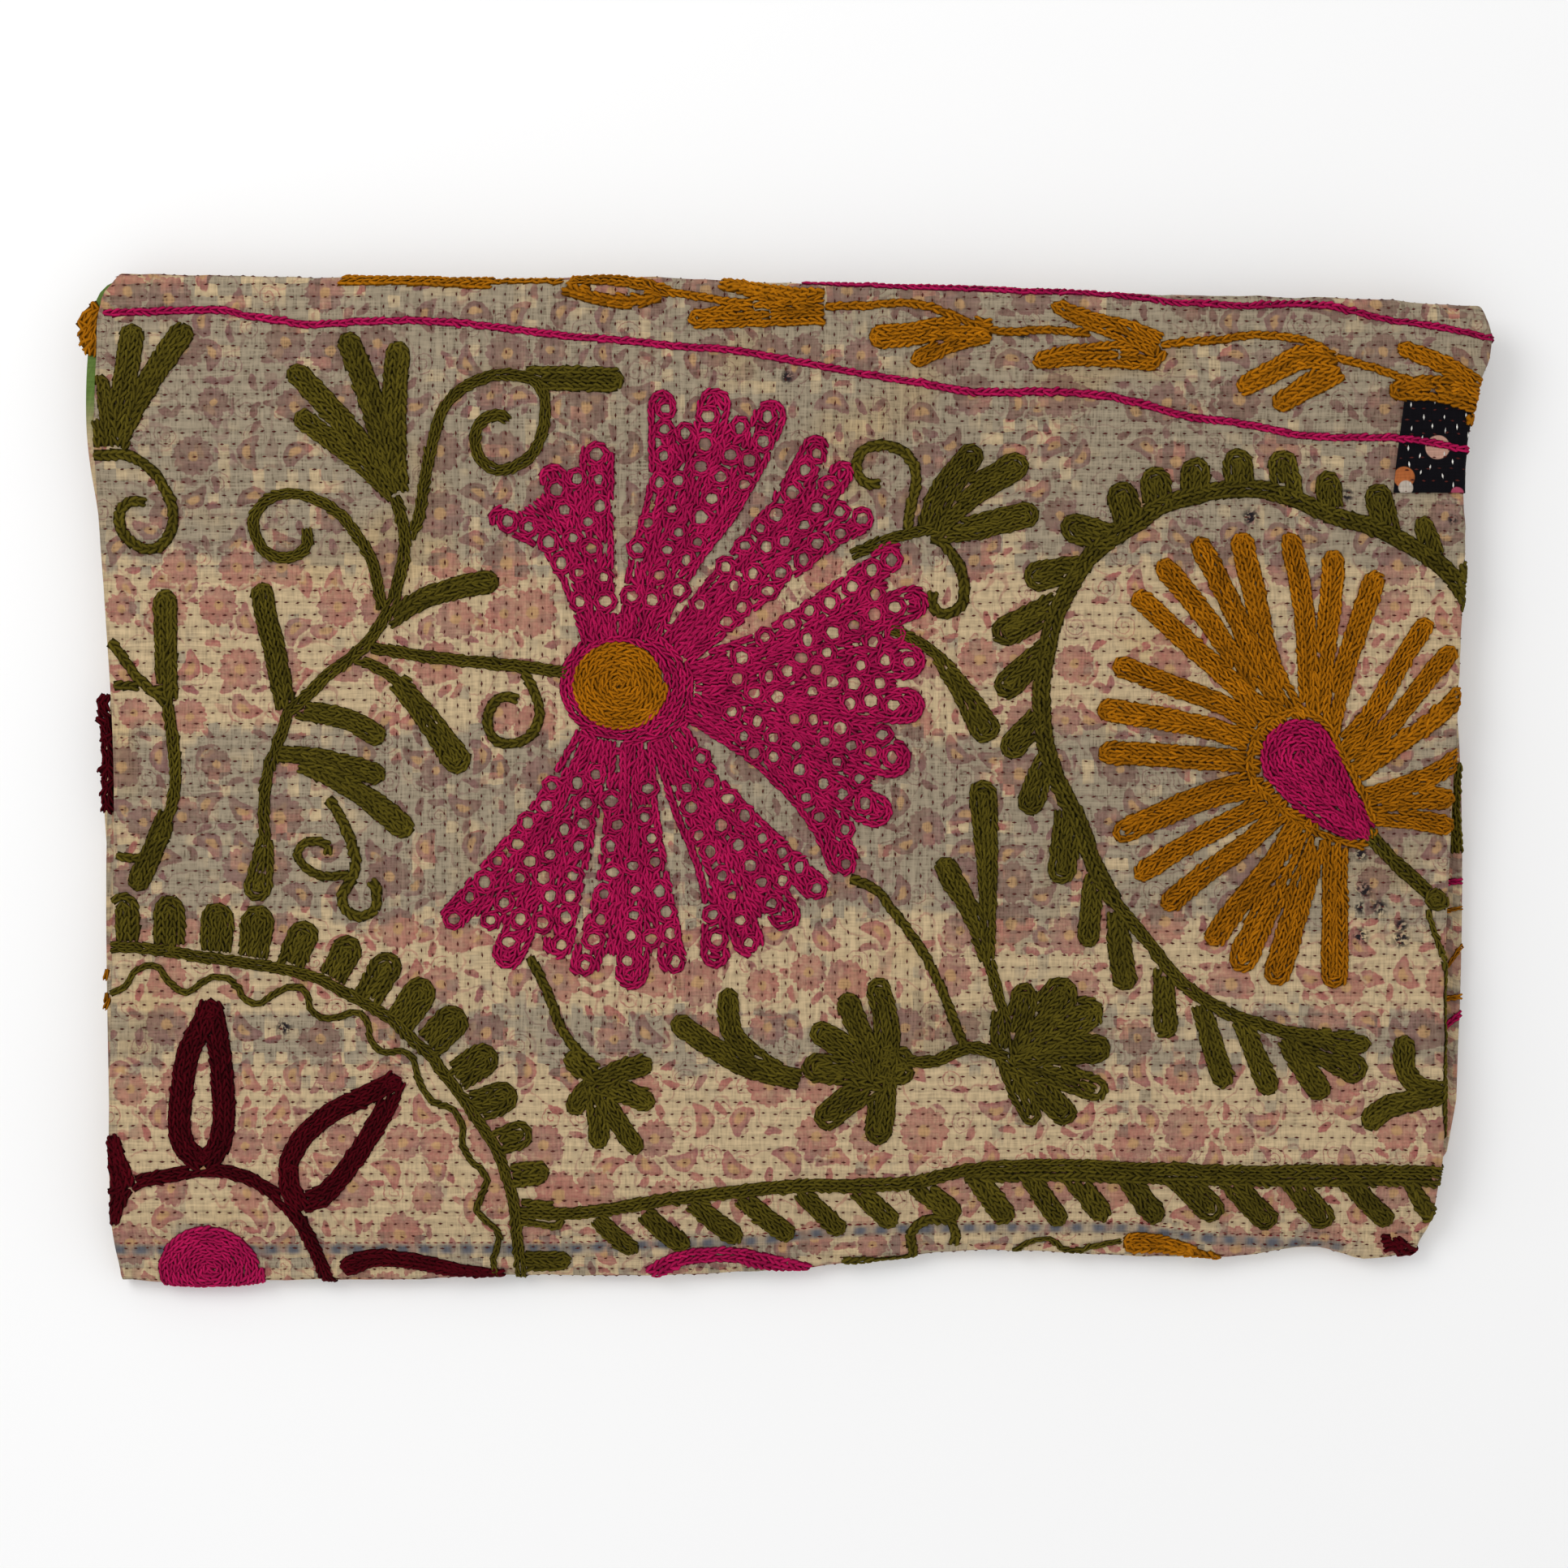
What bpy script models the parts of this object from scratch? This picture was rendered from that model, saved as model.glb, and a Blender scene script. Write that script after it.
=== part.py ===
"""A quilted suzani throw, folded in half across its width, then back and forth along its length.

The cloth is one sheet. Its two halves meet in a fold along the right side, and both hems lie on the
left. This doubled cloth then runs as four layers, joined by folds at the near and far sides, with a
short end turned under the far edge of the top layer. A small patch is sewn around the right fold.
+X is the viewer's right, +Y is the far side and +Z is up. The cloth rests on Z = 0.
"""

from collections import namedtuple
from math import pi

import bmesh
import bpy
import numpy as np

MM = 0.001
COLLECTION_NAME = "folded_suzani_quilt"

# The cloth and how its layers are spaced, centre to centre.
CLOTH_THICKNESS = 2.0 * MM
HALVES_PITCH = 3.0 * MM
LAYER_PITCH = 6.6 * MM

# The right fold turns from one half of the cloth to the other. Layer folds turn the doubled cloth.
HALF_PITCH = HALVES_PITCH / 2
HALF_THICKNESS = CLOTH_THICKNESS / 2
SIDE_FOLD_REACH = HALF_PITCH + HALF_THICKNESS
LAYER_FOLD_RADIUS = LAYER_PITCH / 2
LAYER_FOLD_REACH = LAYER_FOLD_RADIUS + SIDE_FOLD_REACH

# The outline seen from above. fraction runs from near to far on a side edge, and from left to
# right on a near or far edge. place_mm is X on a side edge and Y on a near or far edge.
EdgePoint = namedtuple("EdgePoint", "fraction place_mm")
LEFT_EDGE = (
    EdgePoint(0.00, -341.0),
    EdgePoint(0.03, -343.5),
    EdgePoint(0.11, -345.2),
    EdgePoint(0.30, -344.0),
    EdgePoint(0.55, -343.6),
    EdgePoint(0.66, -347.0),
    EdgePoint(0.82, -351.8),
    EdgePoint(0.92, -350.5),
    EdgePoint(0.965, -348.9),
    EdgePoint(0.985, -345.0),
    EdgePoint(1.00, -335.0),
)
RIGHT_EDGE = (
    EdgePoint(0.00, 316.0),
    EdgePoint(0.03, 324.0),
    EdgePoint(0.09, 328.0),
    EdgePoint(0.30, 330.0),
    EdgePoint(0.50, 334.6),
    EdgePoint(0.64, 338.0),
    EdgePoint(0.74, 340.3),
    EdgePoint(0.85, 340.0),
    EdgePoint(0.914, 345.2),
    EdgePoint(0.945, 351.5),
    EdgePoint(0.985, 350.5),
    EdgePoint(1.00, 347.0),
)
FAR_EDGE = (
    EdgePoint(0.00, 255.0),
    EdgePoint(0.28, 252.2),
    EdgePoint(0.37, 253.4),
    EdgePoint(0.51, 249.7),
    EdgePoint(0.63, 248.9),
    EdgePoint(0.75, 244.8),
    EdgePoint(0.87, 242.7),
    EdgePoint(1.00, 238.6),
)
NEAR_EDGE = (
    EdgePoint(0.00, -255.0),
    EdgePoint(0.075, -257.5),
    EdgePoint(0.12, -255.4),
    EdgePoint(0.22, -255.0),
    EdgePoint(0.30, -252.6),
    EdgePoint(0.40, -253.0),
    EdgePoint(0.51, -250.0),
    EdgePoint(0.67, -239.9),
    EdgePoint(0.79, -243.0),
    EdgePoint(0.87, -242.7),
    EdgePoint(0.93, -238.2),
    EdgePoint(0.965, -244.5),
    EdgePoint(1.00, -241.0),
)
# The lower two layers: they show past the top ones on the right, and stop short at the near side.
LOWER_LEFT_EDGE = (
    EdgePoint(0.00, -347.0),
    EdgePoint(0.45, -348.5),
    EdgePoint(0.60, -345.5),
    EdgePoint(1.00, -345.0),
)
LOWER_RIGHT_EDGE = (
    EdgePoint(0.00, 330.0),
    EdgePoint(0.02, 335.5),
    EdgePoint(0.10, 338.5),
    EdgePoint(0.30, 341.5),
    EdgePoint(0.48, 340.5),
    EdgePoint(0.62, 336.0),
    EdgePoint(1.00, 335.5),
)
LOWER_NEAR_EDGE = (
    EdgePoint(0.00, -219.0),
    EdgePoint(0.50, -208.0),
    EdgePoint(1.00, -195.0),
)
LOWER_FAR_INSET = 4.0 * MM
LAST_HEM_INSET = 9.0 * MM

# How far the under half's hem shows past the upper half's on the left, by fraction near to far.
UNDER_HEM_OVERHANG = (
    EdgePoint(0.00, 0.5),
    EdgePoint(0.44, 0.5),
    EdgePoint(0.51, 3.5),
    EdgePoint(0.58, 0.5),
    EdgePoint(0.76, 0.5),
    EdgePoint(0.82, 3.5),
    EdgePoint(0.94, 4.5),
    EdgePoint(1.00, 2.0),
)

# The turned-under end, and how the top layer comes down beyond it.
TAIL_LENGTH_LEFT = 60.0 * MM
TAIL_LENGTH_RIGHT = 22.0 * MM
TAIL_CLEARANCE = 8.0 * MM
TAIL_SLOPE_LENGTH = 45.0 * MM

# Where the side edges pass from the upper pair's to the lower pair's, by fraction near to far.
SHIFT_START = 0.55
SHIFT_LENGTH = 0.40

# Slack in the pile: low swells, fading out at the edges. Each row is one wave.
SWELL_HEIGHT = 0.9 * MM
SWELL_ACROSS_MM = 700.0
SWELL_ALONG_MM = 510.0
Wave = namedtuple("Wave", "share across_mm along_mm phase")
SWELL_WAVES = (
    Wave(0.45, 310.0, 520.0, 0.4),
    Wave(0.30, -170.0, 240.0, 2.1),
    Wave(0.25, 120.0, 150.0, 4.0),
)
SWELL_FADE = 0.10
SLOPE_STEP = 1.0 * MM

# The sections of the cloth from its turned-under end to its last hem. direction is the way the
# cloth runs in Y, and a fold turns outward that way. breaks are (fraction, steps to it) pairs.
Section = namedtuple("Section", "name is_fold direction breaks")
TAIL, LAYER_0, LAYER_1, LAYER_2, LAYER_3 = "tail", "layer_0", "layer_1", "layer_2", "layer_3"
FOLD_STEPS = ((1.0, 6),)
PATCH_FAR_FRACTION = 0.085
PATCH_NEAR_FRACTION = 0.192
SECTIONS = (
    Section(TAIL, False, 1, ((1.0, 2),)),
    Section("far_fold", True, 1, FOLD_STEPS),
    Section(
        LAYER_0,
        False,
        -1,
        ((PATCH_FAR_FRACTION, 2), (PATCH_NEAR_FRACTION, 3), (0.30, 3), (0.89, 4), (1.0, 5)),
    ),
    Section("near_fold", True, -1, FOLD_STEPS),
    Section(LAYER_1, False, 1, ((0.11, 5), (0.5, 2), (1.0, 4))),
    Section("inner_fold", True, 1, FOLD_STEPS),
    Section(LAYER_2, False, -1, ((1.0, 8),)),
    Section("tucked_fold", True, -1, FOLD_STEPS),
    Section(LAYER_3, False, 1, ((1.0, 6),)),
)

# Columns across one half of the cloth, and around the right fold.
PATCH_LEFT_FRACTION = 0.952
HALF_BREAKS = ((0.03, 1), (PATCH_LEFT_FRACTION, 9), (1.0, 2))
PATCH_UNDER_FRACTION = 0.03
UNDER_BREAKS = ((PATCH_UNDER_FRACTION, 1), (0.97, 9), (1.0, 1))
SIDE_FOLD_STEPS = 6

# The patch is a thinner cloth, a little off the quilt's outer face.
PATCH_THICKNESS = 0.8 * MM
PATCH_GAP = 0.3 * MM
PATCH_OFFSET = HALF_THICKNESS + PATCH_GAP + PATCH_THICKNESS / 2

QUILT_COLOUR = (0.46, 0.35, 0.24, 1.0)
PATCH_COLOUR = (0.012, 0.011, 0.014, 1.0)
CLOTH_ROUGHNESS = 0.92


def smooth(value):
    """0 below 0, 1 above 1, and an S-curve between."""
    value = np.clip(value, 0.0, 1.0)
    return value * value * (3.0 - 2.0 * value)


def along(table, fraction):
    """A smooth curve through a table's points, in metres."""
    at, place = np.array(table).T
    slope = np.gradient(place, at)
    index = np.clip(np.searchsorted(at, fraction, side="right") - 1, 0, len(at) - 2)
    width = at[index + 1] - at[index]
    t = np.clip((fraction - at[index]) / width, 0.0, 1.0)
    start = (1 + 2 * t) * (1 - t) ** 2 * place[index] + t * (1 - t) ** 2 * width * slope[index]
    end = t * t * (3 - 2 * t) * place[index + 1] + t * t * (t - 1) * width * slope[index + 1]
    return (start + end) * MM


def steps(breaks):
    """Fractions from 0 to 1, evenly spaced between each pair of breaks."""
    fractions = [0.0]
    for end, count in breaks:
        fractions.extend(np.linspace(fractions[-1], end, count + 1)[1:])
    return np.array(fractions)


def swell(across, depth):
    """The height of the slack at a fraction across and a fraction near to far."""
    x = (across - 0.5) * SWELL_ACROSS_MM
    y = (depth - 0.5) * SWELL_ALONG_MM
    height = sum(
        wave.share * np.sin(2 * pi * (x / wave.across_mm + y / wave.along_mm) + wave.phase)
        for wave in SWELL_WAVES
    )
    fade_depth = smooth(depth / SWELL_FADE) * smooth((1 - depth) / SWELL_FADE)
    fade_across = smooth(across / SWELL_FADE) * smooth((1 - across) / SWELL_FADE)
    return SWELL_HEIGHT * fade_depth * fade_across * (1 + height) / 2


def level(section, across, y):
    """The height of the doubled cloth's middle on one layer."""
    near, far = along(NEAR_EDGE, across), along(FAR_EDGE, across)
    slack = swell(across, (y - near) / (far - near))
    lowest = SIDE_FOLD_REACH
    if section == LAYER_3:
        return lowest
    if section == LAYER_2:
        return lowest + LAYER_PITCH + slack / 3
    drop_start = along(LOWER_NEAR_EDGE, across) + LAYER_FOLD_REACH
    drop_end = near + LAYER_FOLD_REACH
    drop = smooth((drop_start - y) / (drop_start - drop_end))
    first = lowest + 2 * LAYER_PITCH * (1 - drop) + slack * (1 - drop) * 2 / 3
    if section == LAYER_1:
        return first
    if section == TAIL:
        return first + LAYER_PITCH
    tail_end = far - LAYER_FOLD_REACH - tail_length(across) - TAIL_CLEARANCE
    over_tail = 1 - smooth((tail_end - y) / TAIL_SLOPE_LENGTH)
    return first + LAYER_PITCH * (1 + over_tail) + slack / 3


def tail_length(across):
    return TAIL_LENGTH_LEFT + (TAIL_LENGTH_RIGHT - TAIL_LENGTH_LEFT) * across


def ends(section, across):
    """Y at the start and the end of a layer, at the centres of its folds."""
    far = along(FAR_EDGE, across) - LAYER_FOLD_REACH
    near = along(NEAR_EDGE, across) + LAYER_FOLD_REACH
    lower_near = along(LOWER_NEAR_EDGE, across) + LAYER_FOLD_REACH
    return {
        TAIL: (far - tail_length(across), far),
        LAYER_0: (far, near),
        LAYER_1: (near, far - LOWER_FAR_INSET),
        LAYER_2: (far - LOWER_FAR_INSET, lower_near),
        LAYER_3: (lower_near, far - LAST_HEM_INSET),
    }[section]


def layer_point(section, fraction, across):
    """Y, Z and the direction of run of the doubled cloth's middle, on a layer."""
    start, end = ends(section.name, across)
    y = start + (end - start) * fraction
    rise = level(section.name, across, y + SLOPE_STEP) - level(section.name, across, y - SLOPE_STEP)
    slope = rise / (2 * SLOPE_STEP)
    length = np.hypot(1.0, slope)
    run_y = section.direction / length
    return y, level(section.name, across, y), run_y, run_y * slope


def fold_point(section, before, after, fraction, across):
    """The same on a fold, which is half an ellipse from the layer before to the layer after."""
    y_centre = ends(before, across)[1]
    z_before = level(before, across, y_centre)
    z_after = level(after, across, y_centre)
    angle = pi * fraction
    y = y_centre + section.direction * LAYER_FOLD_RADIUS * np.sin(angle)
    z = (z_before + z_after) / 2 + (z_before - z_after) / 2 * np.cos(angle)
    run_y = section.direction * LAYER_FOLD_RADIUS * np.cos(angle)
    run_z = -(z_before - z_after) / 2 * np.sin(angle)
    length = np.hypot(run_y, run_z)
    return y, z, run_y / length, run_z / length


def side_edges(section, across, y):
    """X of the left hem and the right fold at a Y, for the layer or fold that the section is."""
    near, far = along(NEAR_EDGE, across), along(FAR_EDGE, across)
    lower_near = along(LOWER_NEAR_EDGE, across)
    depth = (y - near) / (far - near)
    lower_depth = (y - lower_near) / (far - LOWER_FAR_INSET - lower_near)
    order = [one.name for one in SECTIONS]
    if order.index(section.name) < order.index(LAYER_1):
        shift = 0.0
    elif section.name == LAYER_1:
        shift = smooth((depth - SHIFT_START) / SHIFT_LENGTH)
    else:
        shift = 1.0
    left = along(LEFT_EDGE, depth) * (1 - shift) + along(LOWER_LEFT_EDGE, lower_depth) * shift
    right = along(RIGHT_EDGE, depth) * (1 - shift) + along(LOWER_RIGHT_EDGE, lower_depth) * shift
    return left, right, left - along(UNDER_HEM_OVERHANG, depth)


def columns():
    """(half, fraction) for each column: the upper half left to right, the fold, the under half."""
    upper = [("upper", f) for f in steps(HALF_BREAKS)]
    turn = [("turn", f) for f in np.linspace(0, 1, SIDE_FOLD_STEPS + 1)[1:]]
    under = [("under", f) for f in steps(UNDER_BREAKS)[1:]]
    return upper + turn + under


def cloth_point(section_index, fraction, column, offset=0.0):
    """A point of the cloth's middle surface, or one set off from it by offset, outward."""
    half, across_fraction = column
    section = SECTIONS[section_index]
    across = {"upper": across_fraction, "turn": 1.0, "under": 1.0 - across_fraction}[half]
    if section.is_fold:
        before, after = SECTIONS[section_index - 1].name, SECTIONS[section_index + 1].name
        y, z, run_y, run_z = fold_point(section, before, after, fraction, across)
    else:
        y, z, run_y, run_z = layer_point(section, fraction, across)
    left, right, under_left = side_edges(section, across, y)
    turn_centre = right - SIDE_FOLD_REACH
    radius = HALF_PITCH + offset
    if half == "upper":
        x, out = left + (turn_centre - left) * across_fraction, radius
    elif half == "turn":
        x = turn_centre + radius * np.sin(pi * across_fraction)
        out = radius * np.cos(pi * across_fraction)
    else:
        x, out = turn_centre + (under_left - turn_centre) * across_fraction, -radius
    return np.array([x, y + run_z * out, z - run_y * out])


def rows():
    """(section index, fraction) for each row of the cloth, shared rows once."""
    found = [(0, 0.0)]
    for index, section in enumerate(SECTIONS):
        found.extend((index, fraction) for fraction in steps(section.breaks)[1:])
    return found


def grid_object(name, points, thickness, colour, collection):
    """A sheet through a grid of points, given its thickness by a Solidify modifier."""
    across_count, along_count = points.shape[:2]
    bm = bmesh.new()
    bmesh.ops.create_grid(bm, x_segments=across_count - 1, y_segments=along_count - 1, size=1.0)
    bm.verts.ensure_lookup_table()
    ordered = sorted(bm.verts, key=lambda vert: (round(vert.co.y, 5), round(vert.co.x, 5)))
    for number, vert in enumerate(ordered):
        vert.co = points[number % across_count, number // across_count]
    mesh = bpy.data.meshes.new(name)
    bm.to_mesh(mesh)
    bm.free()
    obj = bpy.data.objects.new(name, mesh)
    collection.objects.link(obj)
    mesh.shade_smooth()
    wall = obj.modifiers.new("thickness", "SOLIDIFY")
    wall.thickness = thickness
    wall.offset = 0.0
    wall.use_even_offset = True
    material = bpy.data.materials.new(name + "_cloth")
    material.use_nodes = True
    surface = material.node_tree.nodes["Principled BSDF"]
    surface.inputs["Base Color"].default_value = colour
    surface.inputs["Roughness"].default_value = CLOTH_ROUGHNESS
    mesh.materials.append(material)
    return obj


def centred(points):
    """The shift that puts the middle of the cloth's box over the origin and its underside on Z = 0."""
    low = points.min(axis=(0, 1)) - (0.0, HALF_THICKNESS, HALF_THICKNESS)
    high = points.max(axis=(0, 1)) + (HALF_THICKNESS, HALF_THICKNESS, HALF_THICKNESS)
    return -np.array([(low[0] + high[0]) / 2, (low[1] + high[1]) / 2, low[2]])


def build_quilt(collection):
    points = np.array([[cloth_point(*row, column) for row in rows()] for column in columns()])
    shift = centred(points)
    grid_object("quilt", points + shift, CLOTH_THICKNESS, QUILT_COLOUR, collection)
    return shift


def build_patch(collection, shift):
    """The patch follows the quilt's own grid from the top face, around the fold, to the under face."""
    layer_index = [section.name for section in SECTIONS].index(LAYER_0)
    patch_rows = [
        (index, fraction)
        for index, fraction in rows()
        if index == layer_index and PATCH_FAR_FRACTION <= fraction <= PATCH_NEAR_FRACTION
    ]
    patch_columns = [
        (half, fraction)
        for half, fraction in columns()
        if half == "turn"
        or (half == "upper" and fraction >= PATCH_LEFT_FRACTION)
        or (half == "under" and fraction <= PATCH_UNDER_FRACTION)
    ]
    points = np.array(
        [[cloth_point(*row, column, PATCH_OFFSET) for row in patch_rows] for column in patch_columns]
    )
    grid_object("patch", points + shift, PATCH_THICKNESS, PATCH_COLOUR, collection)


def main():
    for obj in list(bpy.data.objects):
        bpy.data.objects.remove(obj)
    collection = bpy.data.collections.new(COLLECTION_NAME)
    bpy.context.scene.collection.children.link(collection)
    shift = build_quilt(collection)
    build_patch(collection, shift)


main()
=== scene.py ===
"""A folded suzani quilt, dressed: printed cotton, running stitches and wool chain stitch.

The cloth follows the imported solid's own folds. Everything sewn on it is drawn first on a flat chart
of the top face, then laid on the cloth. The chart counts in stitches' own small units of 0.41 mm, with
x to the right and y towards the viewer. The cloth lies in metres: +X right, +Y far side, +Z up.
"""

from collections import namedtuple
from math import pi

import bpy
import numpy as np
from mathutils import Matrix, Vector
from bpy.props import (
    FloatProperty,
    FloatVectorProperty,
    IntProperty,
    PointerProperty,
)
from bpy.types import Operator, Panel, PropertyGroup


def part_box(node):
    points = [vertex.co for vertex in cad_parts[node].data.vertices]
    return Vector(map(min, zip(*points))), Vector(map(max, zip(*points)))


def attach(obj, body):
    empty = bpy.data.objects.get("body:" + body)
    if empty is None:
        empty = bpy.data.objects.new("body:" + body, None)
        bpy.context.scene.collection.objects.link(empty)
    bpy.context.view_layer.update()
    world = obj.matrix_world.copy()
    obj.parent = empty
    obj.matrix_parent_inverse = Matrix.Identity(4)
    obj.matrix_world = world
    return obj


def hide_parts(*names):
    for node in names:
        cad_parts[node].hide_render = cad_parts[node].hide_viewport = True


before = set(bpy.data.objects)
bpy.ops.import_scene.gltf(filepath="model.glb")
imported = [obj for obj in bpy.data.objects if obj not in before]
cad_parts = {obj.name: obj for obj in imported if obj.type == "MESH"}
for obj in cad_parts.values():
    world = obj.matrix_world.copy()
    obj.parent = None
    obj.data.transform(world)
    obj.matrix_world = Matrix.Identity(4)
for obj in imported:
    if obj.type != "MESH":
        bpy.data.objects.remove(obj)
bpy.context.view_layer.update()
QUILT_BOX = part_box("quilt")

bl_info = {
    "name": "Folded suzani quilt",
    "version": (1, 0, 0),
    "blender": (4, 5, 0),
    "location": "3D View > Sidebar > Suzani",
    "description": "Makes a folded quilt with running stitches and wool chain-stitch flowers",
    "category": "Add Mesh",
}

MM = 0.001
BODY = "root"

# The chart: its unit, and the point of it that lies at X = Y = 0 before the cloth is centred.
CHART_UNIT = 0.41 * MM
CHART_CENTRE_X = 976.0
CHART_CENTRE_Y = 960.0

# The cloth and its folds, the same sizes as the solid's.
HALF_PITCH = 1.5 * MM
LAYER_PITCH = 6.6 * MM
LAYER_FOLD_RADIUS = LAYER_PITCH / 2
LOWER_FAR_INSET = 4.0 * MM
LAST_HEM_INSET = 9.0 * MM
TAIL_LENGTH_LEFT = 60.0 * MM
TAIL_LENGTH_RIGHT = 22.0 * MM
TAIL_CLEARANCE = 8.0 * MM
TAIL_SLOPE_LENGTH = 45.0 * MM
SHIFT_START = 0.55
SHIFT_LENGTH = 0.40
SWELL_HEIGHT = 0.9 * MM
SWELL_ACROSS_MM = 700.0
SWELL_ALONG_MM = 510.0
SWELL_FADE = 0.10
SLOPE_STEP = 1.0 * MM

# Outline tables. Each pair is (fraction, place in mm): near to far for a side edge, left to right for
# a near or far edge.
LEFT_EDGE = (
    (0.00, -341.0), (0.03, -343.5), (0.11, -345.2), (0.30, -344.0), (0.55, -343.6), (0.66, -347.0),
    (0.82, -351.8), (0.92, -350.5), (0.965, -348.9), (0.985, -345.0), (1.00, -335.0),
)
RIGHT_EDGE = (
    (0.00, 316.0), (0.03, 324.0), (0.09, 328.0), (0.30, 330.0), (0.50, 334.6), (0.64, 338.0),
    (0.74, 340.3), (0.85, 340.0), (0.914, 345.2), (0.945, 351.5), (0.985, 350.5), (1.00, 347.0),
)
FAR_EDGE = (
    (0.00, 255.0), (0.28, 252.2), (0.37, 253.4), (0.51, 249.7), (0.63, 248.9), (0.75, 244.8),
    (0.87, 242.7), (1.00, 238.6),
)
NEAR_EDGE = (
    (0.00, -255.0), (0.075, -257.5), (0.12, -255.4), (0.22, -255.0), (0.30, -252.6), (0.40, -253.0),
    (0.51, -250.0), (0.67, -239.9), (0.79, -243.0), (0.87, -242.7), (0.93, -238.2), (0.965, -244.5),
    (1.00, -241.0),
)
LOWER_LEFT_EDGE = ((0.00, -347.0), (0.45, -348.5), (0.60, -345.5), (1.00, -345.0))
LOWER_RIGHT_EDGE = (
    (0.00, 330.0), (0.02, 335.5), (0.10, 338.5), (0.30, 341.5), (0.48, 340.5), (0.62, 336.0),
    (1.00, 335.5),
)
LOWER_NEAR_EDGE = ((0.00, -219.0), (0.50, -208.0), (1.00, -195.0))
UNDER_HEM_OVERHANG = (
    (0.00, 0.5), (0.44, 0.5), (0.51, 3.5), (0.58, 0.5), (0.76, 0.5), (0.82, 3.5), (0.94, 4.5),
    (1.00, 2.0),
)

Wave = namedtuple("Wave", "share across_mm along_mm phase")
SWELL_WAVES = (
    Wave(0.45, 310.0, 520.0, 0.4),
    Wave(0.30, -170.0, 240.0, 2.1),
    Wave(0.25, 120.0, 150.0, 4.0),
)

TAIL, LAYER_0, LAYER_1, LAYER_2, LAYER_3 = "tail", "layer_0", "layer_1", "layer_2", "layer_3"
Section = namedtuple("Section", "name is_fold direction breaks")
FOLD_STEPS = ((1.0, 9),)
SECTIONS = (
    Section(TAIL, False, 1, ((1.0, 5),)),
    Section("far_fold", True, 1, FOLD_STEPS),
    Section(LAYER_0, False, -1, ((1.0, 138),)),
    Section("near_fold", True, -1, FOLD_STEPS),
    Section(LAYER_1, False, 1, ((0.11, 8), (0.5, 8), (1.0, 8))),
    Section("inner_fold", True, 1, ((1.0, 8),)),
    Section(LAYER_2, False, -1, ((1.0, 16),)),
    Section("tucked_fold", True, -1, ((1.0, 8),)),
    Section(LAYER_3, False, 1, ((1.0, 6),)),
)

# Soft ridges and troughs of the top face: chart x and y of both ends, half width, height in mm.
Crease = namedtuple("Crease", "x0 y0 x1 y1 spread height_mm")
CREASES = (
    Crease(1640, 372, 1800, 470, 16, 1.1),
    Crease(1560, 375, 1700, 440, 14, 0.8),
    Crease(1660, 350, 1810, 410, 12, 0.9),
    Crease(1480, 395, 1600, 425, 16, 0.6),
    Crease(1785, 440, 1800, 560, 9, 0.9),
    Crease(1700, 620, 1800, 650, 18, 0.7),
    Crease(1770, 700, 1790, 900, 14, 0.8),
    Crease(1765, 1050, 1772, 1420, 12, 0.9),
    Crease(1300, 930, 1330, 1150, 26, 0.5),
    Crease(1640, 1180, 1760, 1200, 20, 0.6),
    Crease(1400, 1420, 1750, 1430, 18, 0.7),
    Crease(1380, 1500, 1500, 1540, 16, 0.9),
    Crease(1560, 1490, 1700, 1500, 22, 0.8),
    Crease(1000, 1300, 1400, 1305, 26, 0.4),
    Crease(700, 1520, 1250, 1500, 16, 0.5),
    Crease(140, 1080, 480, 1110, 20, 0.6),
    Crease(150, 1235, 420, 1262, 16, 0.5),
    Crease(145, 560, 470, 585, 20, 0.5),
    Crease(150, 900, 420, 880, 22, 0.5),
    Crease(130, 740, 320, 760, 18, 0.4),
    Crease(420, 345, 700, 362, 14, 0.5),
    Crease(800, 420, 1250, 520, 26, 0.4),
    Crease(560, 480, 700, 900, 24, 0.35),
    Crease(1120, 700, 1160, 1250, 26, 0.4),
    Crease(450, 1050, 560, 1480, 24, 0.35),
    Crease(860, 1230, 880, 1500, 24, 0.3),
)
PUCKER_WAVES = (
    Wave(0.30, 31.0, 12.5, 0.3),
    Wave(0.25, -23.0, 15.0, 1.9),
    Wave(0.25, 14.0, -41.0, 3.1),
    Wave(0.20, 67.0, 24.0, 4.4),
)


# The patch on the chart. It narrows to the left by its slant from the far side to the near side.
PATCH_LEFT = 1729.0
PATCH_FAR = 484.0
PATCH_NEAR = 607.0
PATCH_ACROSS = 136.0
PATCH_SLANT = 12.0
PATCH_THICKNESS = 0.8 * MM
PATCH_STANDOFF = 0.7 * MM

# The embroidery on the chart. A lobe is a finger of nested rows from its base to its round tip, with
# a width at each. A line is a band of rows along its points. A disc is rows round a centre.
Lobe = namedtuple("Lobe", "base_width tip_width points")
Line = namedtuple("Line", "width points")
Disc = namedtuple("Disc", "x y across along")

FLOWER_HEART = Disc(763, 843, 124, 116)
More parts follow.
